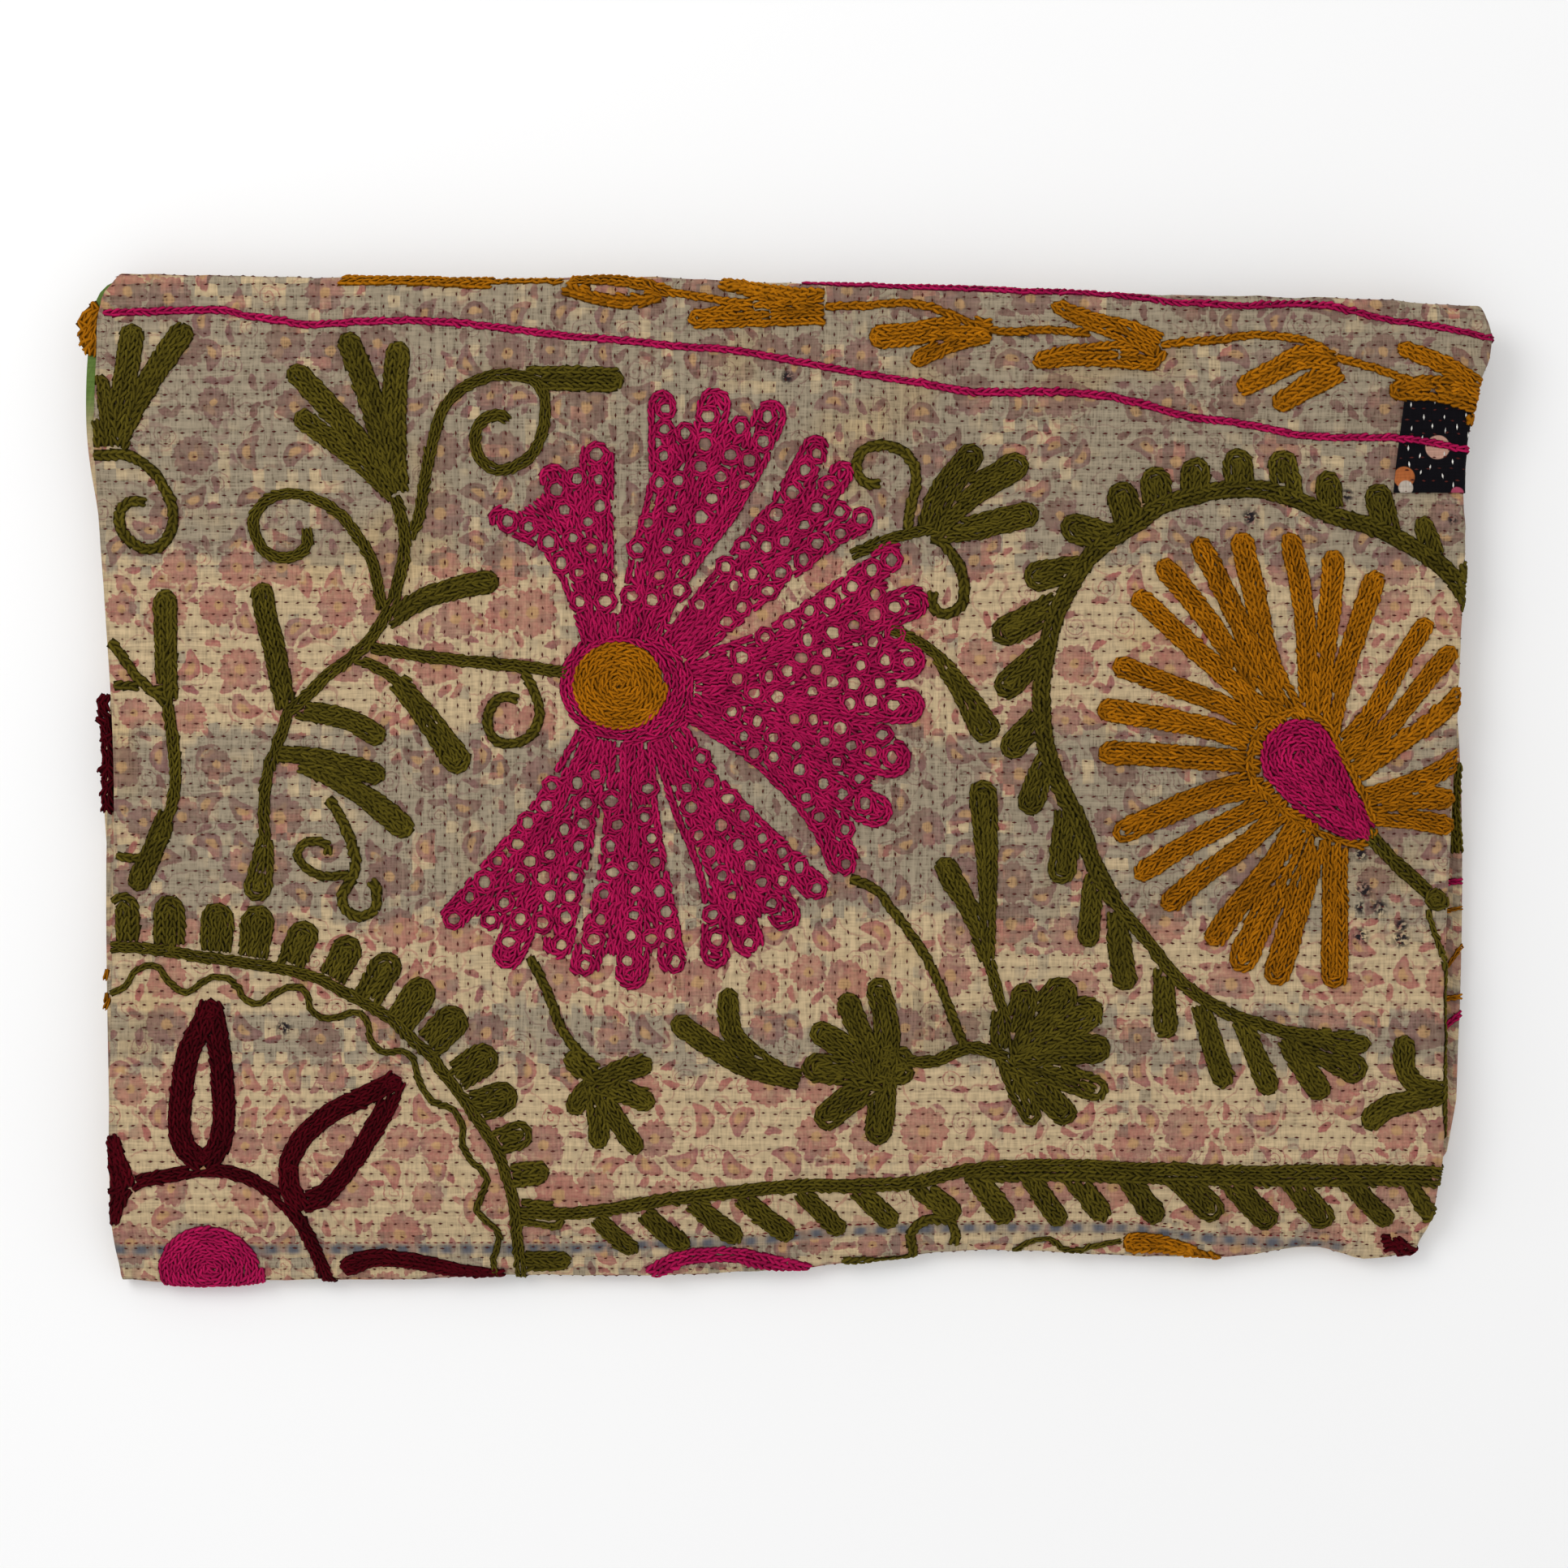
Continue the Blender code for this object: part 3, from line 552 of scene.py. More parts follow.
# The cotton: its threads, where it is greyed (chart y, share of grey), and its worn spots (chart x, y
# and reach).
THREAD_TURN = 2 * pi / (0.8 * MM)
WEAVE_DEPTH = 0.12 * MM
GREY_BANDS = (
    (0.0, 0.55), (340.0, 0.55), (400.0, 0.75), (680.0, 0.75), (715.0, 0.15), (880.0, 0.10), (915.0, 0.70),
    (1120.0, 0.70), (1150.0, 0.15), (1235.0, 0.15), (1255.0, 0.65), (1300.0, 0.65), (1330.0, 0.10),
    (1500.0, 0.10), (1540.0, 0.45), (2400.0, 0.45),
)
WORN_SPOTS = (
    (1727, 1140, 13), (1727, 1157, 17), (1700, 1118, 15), (1677, 1118, 12), (1677, 1153, 15),
    (1681, 1096, 16), (1677, 1053, 13), (1541, 637, 16), (1660, 610, 12), (1260, 413, 12),
    (350, 1266, 14), (1060, 760, 12), (970, 466, 12), (1790, 640, 9), (100, 500, 8),
)
STAIN_COLOUR = (0.40, 0.26, 0.10, 1.0)
GREY_ROSE = (0.140, 0.056, 0.050, 1.0)
MAUVE = (0.175, 0.062, 0.074, 1.0)
# Painted shade between the cotton's threads.
GAP_SHADE_COLOUR = (0.10, 0.06, 0.035, 1.0)
SOIL_COLOUR = (0.016, 0.012, 0.014, 1.0)
# The back's coloured stripes: chart y where each fades in and out, and its colour.
BACKING_STRIPES = (
    ((300.0, 340.0, 480.0, 560.0), (0.10, 0.16, 0.035, 1.0)),
    ((845.0, 860.0, 990.0, 1010.0), (0.05, 0.004, 0.008, 1.0)),
)
PATCH_BLACK = (0.004, 0.0035, 0.005, 1.0)
PATCH_ROUNDS = (
    (1771, 550, 15, (0.42, 0.24, 0.18, 1.0)),
    (1730, 588, 13, (0.34, 0.10, 0.03, 1.0)),
    (1732, 601, 9, (0.40, 0.34, 0.28, 1.0)),
    (1795, 607, 7, (0.30, 0.05, 0.09, 1.0)),
)
WHITE_THREAD = (0.62, 0.60, 0.55, 1.0)
PATCH_STITCH = (3.6 * MM, 0.9 * MM)
BAND_BLUE = (0.098, 0.098, 0.112, 1.0)
# Painted shade at the bottom of a strand and painted highlight on its top, as factors on the wool's
# colour.
YARN_PAINTED_SHADE = 0.50
YARN_PAINTED_HIGHLIGHT = 1.30
YARN_FUZZ = 0.25 * MM


# The seam's blue-grey band: chart x and y of its middle, its half width, and how far apart its blots
# lie. A row of red stitches runs beside it.
BAND_LINE = (
    (100.0, 1540.0), (700.0, 1540.0), (800.0, 1534.0), (927.0, 1530.0), (1007.0, 1519.0), (1107.0, 1514.0),
    (1190.0, 1513.5), (1400.0, 1513.5), (1450.0, 1522.5), (1500.0, 1529.0), (1550.0, 1533.0),
    (1600.0, 1536.0), (1667.0, 1542.0), (1760.0, 1546.0),
)
BAND_BASE = 1500.0
BAND_HALF = 7.0
BAND_BLOT = 27.0
BAND_RED_OFF = 9.0
BAND_RED_STEP = 9.5
SEAM_RUN = (126.0, 1690.0)
SEAM_RED = (0.13, 0.014, 0.016, 1.0)
SEAM_STITCH = (3.6 * MM, 0.8 * MM)

# Wool on the lower layers that shows at the right fold, and on the under half past the left hem.
STRIP_MAGENTA = (
    Line(8, ((1774, 1089), (1790, 1088), (1808, 1087))),
    Line(8, ((1774, 1276), (1788, 1266), (1808, 1250))),
)
STRIP_OCHRE = (
    Line(5, ((1774, 1124), (1790, 1123), (1808, 1120))),
    Line(5, ((1774, 1199), (1787, 1195), (1799, 1180), (1808, 1166))),
    Line(7, ((1774, 1233), (1790, 1232), (1808, 1230))),
)
STRIP_OLIVE = (Line(16, ((1801, 940), (1797, 985), (1799, 1020), (1802, 1050))),)
HEM_OCHRE = (
    Line(8, ((118, 374), (117, 405), (118, 438))),
    Line(8, ((111, 382), (110, 405), (110, 436))),
    Line(8, ((104, 388), (103, 402), (104, 424))),
    Line(5, ((128, 1196), (131, 1206))),
    Line(5, ((129, 1226), (132, 1240))),
)
HEM_MAROON = (Line(14, ((128, 856), (125, 878), (130, 905), (131, 950), (130, 1000))),)
HEM_DROP_MM = -2.6

# The studio. The photo's frame is 1932 chart units wide.
Lamp = namedtuple("Lamp", "place size power")
LAMPS = (Lamp((-1.1, 0.9, 1.7), 1.2, 14.0),)
WORLD_STRENGTH = 0.85
FLOOR_COLOUR = (0.92, 0.92, 0.92, 1.0)
FLOOR_ROUGHNESS = 0.95
FLOOR_SIZE = 6.0
FLOOR_Z = -0.0005
LENS = 85.0
SENSOR = 36.0
VIEW_WIDTH = 1932 * CHART_UNIT
CAMERA_CENTRE = ((966 - CHART_CENTRE_X) * CHART_UNIT, (CHART_CENTRE_Y - 966) * CHART_UNIT)
CAMERA_FOCUS_HEIGHT = 0.027


class SuzaniCloth(PropertyGroup):
    """Sizes and colours of the printed cotton and its running stitches."""

    thickness: FloatProperty(
        name="Thickness", description="Thickness of the quilted cotton", default=0.002,
        min=0.0005, max=0.004, unit="LENGTH")
    shift: FloatVectorProperty(
        name="Shift", description="From the chart's place to the packed cloth's place", size=3,
        unit="LENGTH")
    upper_columns: IntProperty(
        name="Columns", description="Columns of faces across the upper half", default=142, min=20)
    turn_columns: IntProperty(
        name="Turn columns", description="Columns of faces around the right fold", default=8, min=4)
    under_columns: IntProperty(
        name="Under columns", description="Columns of faces across the under half", default=20, min=6)
    pucker: FloatProperty(
        name="Pucker", description="Height of the small puckers between stitches", default=0.0004,
        unit="LENGTH")
    stitch_length: FloatProperty(
        name="Stitch length", description="Length of one running stitch", default=0.0029,
        unit="LENGTH")
    stitch_width: FloatProperty(
        name="Stitch width", description="Width of the stitching thread", default=0.0009,
        unit="LENGTH")
    cream: FloatVectorProperty(
        name="Cream", description="Colour of the cleaner cotton", size=4, subtype="COLOR",
        default=(0.475, 0.358, 0.210, 1.0))
    grey: FloatVectorProperty(
        name="Grey", description="Colour of the greyed cotton", size=4, subtype="COLOR",
        default=(0.288, 0.236, 0.163, 1.0))
    rose: FloatVectorProperty(
        name="Rose", description="Colour of the faded print", size=4, subtype="COLOR",
        default=(0.300, 0.080, 0.074, 1.0))
    heart: FloatVectorProperty(
        name="Flower heart", description="Colour of the printed flowers' middles", size=4,
        subtype="COLOR", default=(0.42, 0.25, 0.11, 1.0))
    stitch: FloatVectorProperty(
        name="Stitch", description="Colour of the running stitches", size=4, subtype="COLOR",
        default=(0.070, 0.015, 0.012, 1.0))


class SuzaniWool(PropertyGroup):
    """Sizes and colours of the wool chain stitch."""

    pitch: FloatProperty(
        name="Link pitch", description="Length of one chain link", default=0.0040, min=0.002,
        unit="LENGTH")
    row: FloatProperty(
        name="Row width", description="Width of one row of chain stitch", default=0.0038,
        min=0.002, unit="LENGTH")
    strand: FloatProperty(
        name="Strand", description="Width of one strand of wool", default=0.00145, min=0.0004,
        unit="LENGTH")
    magenta: FloatVectorProperty(
        name="Magenta", description="Magenta wool", size=4, subtype="COLOR",
        default=(0.305, 0.006, 0.058, 1.0))
    ochre: FloatVectorProperty(
        name="Ochre", description="Ochre wool", size=4, subtype="COLOR",
        default=(0.27, 0.096, 0.002, 1.0))
    olive: FloatVectorProperty(
        name="Olive", description="Olive wool", size=4, subtype="COLOR",
        default=(0.066, 0.051, 0.005, 1.0))
    maroon: FloatVectorProperty(
        name="Maroon", description="Maroon wool", size=4, subtype="COLOR",
        default=(0.050, 0.001, 0.0035, 1.0))


def smooth(value):
    """0 below 0, 1 above 1, and an S-curve between."""
    value = np.clip(value, 0.0, 1.0)
    return value * value * (3.0 - 2.0 * value)


def along(table, fraction):
    """A smooth curve through a table's points, in metres: cubic pieces with the same slopes."""
    at, place = np.array(table).T
    slope = np.gradient(place, at)
    index = np.clip(np.searchsorted(at, fraction, side="right") - 1, 0, len(at) - 2)
    width = at[index + 1] - at[index]
    t = np.clip((fraction - at[index]) / width, 0.0, 1.0)
    start = (1 + 2 * t) * (1 - t) ** 2 * place[index] + t * (1 - t) ** 2 * width * slope[index]
    end = t * t * (3 - 2 * t) * place[index + 1] + t * t * (t - 1) * width * slope[index + 1]
    return (start + end) * MM


def steps(breaks):
    """Fractions from 0 to 1, evenly spaced between each pair of breaks."""
    fractions = [0.0]
    for end, count in breaks:
        fractions.extend(np.linspace(fractions[-1], end, count + 1)[1:])
    return np.array(fractions)


def side_fold_reach():
    """From the right fold's centre to its outer face."""
    return HALF_PITCH + bpy.context.scene.suzani_cloth.thickness / 2


def layer_fold_reach():
    """From a layer fold's centre to its outer face."""
    return LAYER_FOLD_RADIUS + side_fold_reach()


def swell(across, depth):
    """Slack in the pile: three crossed sine waves, faded out at the edges."""
    x = (across - 0.5) * SWELL_ACROSS_MM
    y = (depth - 0.5) * SWELL_ALONG_MM
    height = sum(
        wave.share * np.sin(2 * pi * (x / wave.across_mm + y / wave.along_mm) + wave.phase)
        for wave in SWELL_WAVES
    )
    fade_depth = smooth(depth / SWELL_FADE) * smooth((1 - depth) / SWELL_FADE)
    fade_across = smooth(across / SWELL_FADE) * smooth((1 - across) / SWELL_FADE)
    return SWELL_HEIGHT * fade_depth * fade_across * (1 + height) / 2


def tail_length(across):
    return TAIL_LENGTH_LEFT + (TAIL_LENGTH_RIGHT - TAIL_LENGTH_LEFT) * across


def level(layer, across, y):
    """Height of the doubled cloth's middle: a step up per layer, with slack, a drop at the near
    side where the lower layers stop short, and a rise at the far side over the turned-under end."""
    near, far = along(NEAR_EDGE, across), along(FAR_EDGE, across)
    slack = swell(across, (y - near) / (far - near))
    lowest = side_fold_reach()
    if layer == LAYER_3:
        return lowest + 0 * slack
    if layer == LAYER_2:
        return lowest + LAYER_PITCH + slack / 3
    drop_start = along(LOWER_NEAR_EDGE, across) + layer_fold_reach()
    drop_end = near + layer_fold_reach()
    drop = smooth((drop_start - y) / (drop_start - drop_end))
    first = lowest + 2 * LAYER_PITCH * (1 - drop) + slack * (1 - drop) * 2 / 3
    if layer == LAYER_1:
        return first
    if layer == TAIL:
        return first + LAYER_PITCH
    tail_end = far - layer_fold_reach() - tail_length(across) - TAIL_CLEARANCE
    over_tail = 1 - smooth((tail_end - y) / TAIL_SLOPE_LENGTH)
    return first + LAYER_PITCH * (1 + over_tail) + slack / 3


def ends(layer, across):
    """Y at the start and the end of a layer, at the centres of its folds."""
    far = along(FAR_EDGE, across) - layer_fold_reach()
    near = along(NEAR_EDGE, across) + layer_fold_reach()
    lower_near = along(LOWER_NEAR_EDGE, across) + layer_fold_reach()
    return {
        TAIL: (far - tail_length(across), far),
        LAYER_0: (far, near),
        LAYER_1: (near, far - LOWER_FAR_INSET),
        LAYER_2: (far - LOWER_FAR_INSET, lower_near),
        LAYER_3: (lower_near, far - LAST_HEM_INSET),
    }[layer]


def layer_run(layer, direction, across, y):
    """Y, Z and the unit direction of run of the doubled cloth's middle, on a layer."""
    rise = level(layer, across, y + SLOPE_STEP) - level(layer, across, y - SLOPE_STEP)
    slope = rise / (2 * SLOPE_STEP)
    run_y = direction / np.hypot(1.0, slope)
    return y, level(layer, across, y), run_y, run_y * slope


def fold_run(direction, before, after, angle, across):
    """The same on a fold: half an ellipse from the layer before to the layer after."""
    y_centre = ends(before, across)[1]
    z_before = level(before, across, y_centre)
    z_after = level(after, across, y_centre)
    y = y_centre + direction * LAYER_FOLD_RADIUS * np.sin(angle)
    z = (z_before + z_after) / 2 + (z_before - z_after) / 2 * np.cos(angle)
    run_y = direction * LAYER_FOLD_RADIUS * np.cos(angle)
    run_z = -(z_before - z_after) / 2 * np.sin(angle)
    length = np.hypot(run_y, run_z)
    return y, z, run_y / length, run_z / length


def side_edges(name, across, y):
    """X of the left hem, of the right fold's centre, and of the under half's hem, at a Y."""
    near, far = along(NEAR_EDGE, across), along(FAR_EDGE, across)
    lower_near = along(LOWER_NEAR_EDGE, across)
    depth = (y - near) / (far - near)
    lower_depth = (y - lower_near) / (far - LOWER_FAR_INSET - lower_near)
    order = [one.name for one in SECTIONS]
    if order.index(name) < order.index(LAYER_1):
        shift = 0.0
    elif name == LAYER_1:
        shift = smooth((depth - SHIFT_START) / SHIFT_LENGTH)
    else:
        shift = 1.0
    left = along(LEFT_EDGE, depth) * (1 - shift) + along(LOWER_LEFT_EDGE, lower_depth) * shift
    right = along(RIGHT_EDGE, depth) * (1 - shift) + along(LOWER_RIGHT_EDGE, lower_depth) * shift
    return left, right - side_fold_reach(), left - along(UNDER_HEM_OVERHANG, depth)


def chart_of(x, y):
    """Chart places of flat places in metres."""
    return x / CHART_UNIT + CHART_CENTRE_X, CHART_CENTRE_Y - y / CHART_UNIT


def band_middle(chart_x):
    """Chart y of the seam band's middle."""
    at, place = np.array(BAND_LINE).T
    return np.interp(chart_x, at, place)


def relief(x, y):
    """How far the top face stands off the even cloth at flat x and y: the listed creases, each
    a bell across its line that fades past its ends, and small crossed waves of pucker."""
    chart_x, chart_y = chart_of(x, y)
    height = np.zeros(np.broadcast(x, y).shape)
    for crease in CREASES:
        run_x, run_y = crease.x1 - crease.x0, crease.y1 - crease.y0
        length = np.hypot(run_x, run_y)
        from_x, from_y = chart_x - crease.x0, chart_y - crease.y0
        forward = (from_x * run_x + from_y * run_y) / length
        sideways = (from_x * run_y - from_y * run_x) / length
        beyond = np.maximum(np.maximum(-forward, forward - length), 0.0)
        bell = np.exp(-((sideways / crease.spread) ** 2) - (beyond / (2 * crease.spread)) ** 2)
        height = height + crease.height_mm * MM * bell
    off_band = (chart_y - band_middle(chart_x)) / (1.6 * BAND_HALF)
    height = height + 0.5 * MM * np.exp(-off_band ** 2)
    waves = sum(
        wave.share * np.sin(2 * pi * (x / MM / wave.across_mm + y / MM / wave.along_mm) + wave.phase)
        for wave in PUCKER_WAVES
    )
    return height + bpy.context.scene.suzani_cloth.pucker * (1 + waves)


def cloth_grid():
    """The whole sheet as a grid: middle-surface points and flat places, rows along, columns across.
    A point is its layer's or fold's run, set off along the run's normal by half the doubled cloth;
    around the right fold that offset turns through half a circle."""
    settings = bpy.context.scene.suzani_cloth
    upper = np.linspace(0, 1, settings.upper_columns + 1)
    turn = np.linspace(0, pi, settings.turn_columns + 1)[1:]
    under = steps(((0.03, 2), (0.97, settings.under_columns - 4), (1.0, 2)))[1:]
    across = np.concatenate((upper, np.ones_like(turn), 1 - under))
    angle = np.concatenate((np.zeros_like(upper), turn, np.full_like(under, pi)))
    is_under = np.concatenate((np.zeros(len(upper) + len(turn), bool), np.ones(len(under), bool)))
    outer = layer_fold_reach()
    points, flats = [], []
    far_centre, _ = ends(LAYER_0, across)
    flat_start = {}
    for index, section in enumerate(SECTIONS):
        fraction = steps(section.breaks)[:, None]
        if index:
            fraction = fraction[1:]
        if section.is_fold:
            before, after = SECTIONS[index - 1].name, SECTIONS[index + 1].name
            y, z, run_y, run_z = fold_run(section.direction, before, after, pi * fraction, across)
            passed = fraction * outer * pi
        else:
            start, end = ends(section.name, across)
            y = start + (end - start) * fraction
            y, z, run_y, run_z = layer_run(section.name, section.direction, across, y)
            passed = fraction * np.abs(end - start)
        left, turn_centre, under_left = side_edges(section.name, across, y)
        hem = np.where(is_under, under_left, left)
        if index == 0:
            flat_start[0] = far_centre + outer * pi + np.abs(ends(TAIL, across)[1] - ends(TAIL, across)[0])
        flat_y = flat_start[index] - passed
        flat_start[index + 1] = flat_y[-1]
        plain_x = hem + (turn_centre - hem) * across
        flat_x = np.where(
            is_under, 2 * turn_centre + side_fold_reach() * pi - plain_x,
            plain_x + side_fold_reach() * angle)
        upper_share = smooth(1 - angle / pi)
        layer_share = 1.0 if section.name in (LAYER_0, "far_fold", "near_fold") else 0.15
        lift = relief(flat_x, flat_y) * upper_share * layer_share
        radius = HALF_PITCH + lift
        out = radius * np.cos(angle)
        x = plain_x + radius * np.sin(angle)
        points.append(np.stack(np.broadcast_arrays(x, y + run_z * out, z - run_y * out), axis=-1))
        flats.append(np.stack(np.broadcast_arrays(flat_x, flat_y), axis=-1))
    return np.concatenate(points), np.concatenate(flats)


def on_cloth(flat_x, flat_y, lift, layer=LAYER_0):
    """Points at a height of lift over a layer's upper face, from flat places: the flat sheet is
    rolled over the far, near and right folds by arc length over their radius."""
    outer = layer_fold_reach()
    across = np.clip((flat_x + 0.345) / 0.68, 0, 1)
    for _ in range(2):
        start, end = ends(layer, across)
        far_centre, near_centre = np.maximum(start, end), np.minimum(start, end)
        y_flat = np.clip(flat_y, near_centre, far_centre)
        left, turn_centre, _ = side_edges(layer, across, y_flat)
        across = np.clip((flat_x - left) / (turn_centre - left), 0, 1)
    y, z, run_y, run_z = layer_run(layer, -1, across, y_flat)
    if layer == LAYER_0:
        over_far = np.clip((flat_y - far_centre) / outer, 0, pi)
        over_near = np.clip((near_centre - flat_y) / outer, 0, pi)
        far = fold_run(1, TAIL, LAYER_0, pi - over_far, across)
        near = fold_run(-1, LAYER_0, LAYER_1, over_near, across)
        for place, (flat, from_far, from_near) in enumerate(zip((y, z, run_y, run_z), far, near)):
            value = np.where(over_far > 0, from_far, np.where(over_near > 0, from_near, flat))
            if place == 0:
                y = value
            elif place == 1:
                z = value
            elif place == 2:
                run_y = value
            else:
                run_z = value
        left, turn_centre, _ = side_edges(layer, across, y)
        stand = relief(flat_x, flat_y)
    else:
        stand = 0.15 * relief(flat_x, flat_y)
    plain_x = left + (turn_centre - left) * across
    angle = np.clip((flat_x - turn_centre) / side_fold_reach(), 0, pi)
    past = np.maximum(flat_x - turn_centre - pi * side_fold_reach(), 0)
    radius = side_fold_reach() + lift + stand * smooth(1 - angle / pi)
    out = radius * np.cos(angle)
    plain_x = np.where(flat_x < left, flat_x, plain_x)
    x = np.where(angle > 0, turn_centre + radius * np.sin(angle) - past, plain_x)
    return np.stack((x, y + run_z * out, z - run_y * out), axis=-1)


def new_object(name, mesh, material):
    """Links a mesh as a piece, in place, with a smooth surface and its material."""
    mesh.materials.append(material)
    mesh.shade_smooth()
    piece = bpy.data.objects.new(name, mesh)
    bpy.context.scene.collection.objects.link(piece)
    return piece


def grid_mesh(name, points, flats):
    """A mesh of squares through a grid of points, with the flat places as its UV map. Rows run
    along the first axis, and each square's corners go round so that its face points up."""
    rows, columns = points.shape[:2]
    number = np.arange(rows * columns).reshape(rows, columns)
    corners = (number[:-1, :-1], number[1:, :-1], number[1:, 1:], number[:-1, 1:])
    squares = np.stack([corner.ravel() for corner in corners], axis=-1)
    mesh = bpy.data.meshes.new(name)
    mesh.from_pydata(points.reshape(-1, 3), [], squares)
    layer = mesh.uv_layers.new(name="flat")
    layer.data.foreach_set("uv", flats.reshape(-1, 2)[squares.ravel()].astype(np.float32).ravel())
    return mesh


def solidify(piece, thickness, offset):
    """Gives a sheet its wall. The other face and the rim take the next material slot."""
    wall = piece.modifiers.new("wall", "SOLIDIFY")
    wall.thickness = thickness
    wall.offset = offset
    wall.use_even_offset = True
    wall.material_offset = 1
    wall.material_offset_rim = 1
    return wall


def centre_shift(points):
    """The shift that puts the cloth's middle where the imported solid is."""
    low, high = QUILT_BOX
    half = bpy.context.scene.suzani_cloth.thickness / 2
    x = (low.x + high.x) / 2 - (points[..., 0].min() + points[..., 0].max() + half) / 2
    y = (low.y + high.y) / 2 - (points[..., 1].min() + points[..., 1].max()) / 2
    return np.array((x, y, low.z - points[..., 2].min() + half))


Links = namedtuple("Links", "centre run width tone raise_mm")


def curve(points):
    """A smooth path through points: Catmull-Rom cubics, cut at even steps of arc length."""
    points = np.array(points, float)
    if len(points) == 2:
        points = np.array((points[0], points.mean(axis=0), points[1]))
    padded = np.concatenate(([2 * points[0] - points[1]], points, [2 * points[-1] - points[-2]]))
    t = np.linspace(0, 1, 24, endpoint=False)[None, :, None]
    before, start, end, after = (padded[k:len(padded) - 3 + k, None] for k in range(4))
    cubic = 0.5 * (
        2 * start + (end - before) * t + (2 * before - 5 * start + 4 * end - after) * t ** 2
        + (3 * start - before - 3 * end + after) * t ** 3)
    path = np.concatenate((cubic.reshape(-1, 2), points[-1:]))
    return even(path, CURVE_STEP)


def even(path, step):
    """The same path cut at even steps of its length."""
    length = np.concatenate(([0.0], np.cumsum(np.hypot(*np.diff(path, axis=0).T))))
    count = max(int(round(length[-1] / step)), 1)
    at = np.linspace(0, length[-1], count + 1)
    return np.stack((np.interp(at, length, path[:, 0]), np.interp(at, length, path[:, 1])), axis=-1)


def normals(path):
    """Unit normals of a path, to its left on the chart."""
    run = np.gradient(path, axis=0)
    run /= np.maximum(np.hypot(*run.T), 1e-9)[:, None]
    return np.stack((run[:, 1], -run[:, 0]), axis=-1)


def length_along(path):
    return np.concatenate(([0.0], np.cumsum(np.hypot(*np.diff(path, axis=0).T))))


def lobe_rows(lobe):
    """Nested rows of a finger, and how wide each is. Each runs up one side at its inset from the
    outline, round a half circle about the tip's centre and back down the other side. An odd count
    leaves one row along the middle."""
    path = curve(lobe.points)
    side = normals(path)
    at = length_along(path)
    tip_half = lobe.tip_width / 2
    stop = max(at[-1] - tip_half, at[-1] * 0.3)
    half = lobe.base_width / 2 + (tip_half - lobe.base_width / 2) * np.clip(at / stop, 0, 1)
    straight = at <= stop
    centre = path[straight][-1]
    out = side[straight][-1]
    forward = np.array((-out[1], out[0]))
    count = max(int(round(max(lobe.tip_width, lobe.base_width) / ROW)), 1)
    spacing = max(lobe.tip_width, lobe.base_width) / count
    rows = []
    for number in range(count // 2):
        inset = (number + 0.5) * spacing
        keep = straight & (half - inset > 0.25 * spacing)
        radius = tip_half - inset
        if not keep.any():
            continue
        offset = (half - inset)[:, None] * side
        if radius < 0.25 * spacing:
            rows.append((path + offset)[keep])
            rows.append((path - offset)[keep])
            continue
        angle = np.linspace(0, pi, 25)[1:-1, None]
        cap = centre + radius * (np.cos(angle) * out + np.sin(angle) * forward)
        rows.append(np.concatenate(((path + offset)[keep], cap, (path - offset)[keep][::-1])))
    if count % 2:
        rows.append(path[at <= at[-1] - 0.45 * spacing])
    return rows, spacing / ROW


def petal_holes(petal):
    """Eyelets of a fan of fingers: a file of them down each finger and down each place between two
    where there is room, every other file half a step along."""
    random = np.random.default_rng(SEED + 20)
    files = [curve(finger.points) for finger in petal]
    paths = []
    for number, path in enumerate(files):
        paths.append((path, 0.5 * (number % 2), 0.15, 1.0))
        if number + 1 < len(files):
            other = files[number + 1]
            at = np.linspace(0, 1, 80)
            here = path[(at * (len(path) - 1)).astype(int)]
            there = other[(at * (len(other) - 1)).astype(int)]
            middle = (here + there) / 2
            paths.append((even(middle, CURVE_STEP), 0.5 * (1 - number % 2), 0.38, 0.86))
    holes = []
    for path, phase, first, last in paths:
        at = length_along(path)
        end = at[-1] * last - (22.0 if last == 1.0 else 0.0)
        places = np.arange(end - phase * HOLE_STEP, at[-1] * first, -HOLE_STEP)
        hole = np.stack((np.interp(places, at, path[:, 0]), np.interp(places, at, path[:, 1])), axis=-1)
        holes.append(hole + random.normal(0, 3.0, hole.shape))
    kept = []
    for hole in np.concatenate(holes):
        if all(np.hypot(*(hole - other)) > 0.78 * HOLE_STEP for other in kept):
            kept.append(hole)
    return np.array(kept)


def between_rows(petal):
    """Rows that fill the web between neighbouring fingers, from the heart to where they part."""
    rows = []
    for first, second in zip(petal[:-1], petal[1:]):
        one, other = curve(first.points), curve(second.points)
        at = np.linspace(0, WEB_SHARE, 60)
        one = one[(at * (len(one) - 1)).astype(int)]
        other = other[(at * (len(other) - 1)).astype(int)]
        for share in np.linspace(0.08, 0.92, 11):
            rows.append(one + (other - one) * share)
    return rows


def line_rows(line):
    """Side-by-side rows that fill a band's width, and how wide each is for that."""
    path = curve(line.points)
    side = normals(path)
    count = max(int(round(line.width / ROW)), 1)
    spacing = line.width / count
    offsets = (np.arange(count) - (count - 1) / 2) * spacing
    return [path + offset * side for offset in offsets], spacing / ROW


def disc_rows(disc, step=ROW):
    """One spiral row from the rim to the middle."""
    turns = min(disc.across, disc.along) / 2 / step
    t = np.linspace(0, 1, int(turns * 60))
    radius = (1 - 0.5 / turns) * (1 - t) + 0.3 / turns * t
    angle = 2 * pi * turns * t
    x = disc.x + disc.across / 2 * radius * np.cos(angle)
    y = disc.y + disc.along / 2 * radius * np.sin(angle)
    return [np.stack((x, y), axis=-1)]


def cells_of(places):
    """The chart's cells that places lie in."""
    return np.clip((places / CELL).astype(int), 0, CHART_CELLS - 1)


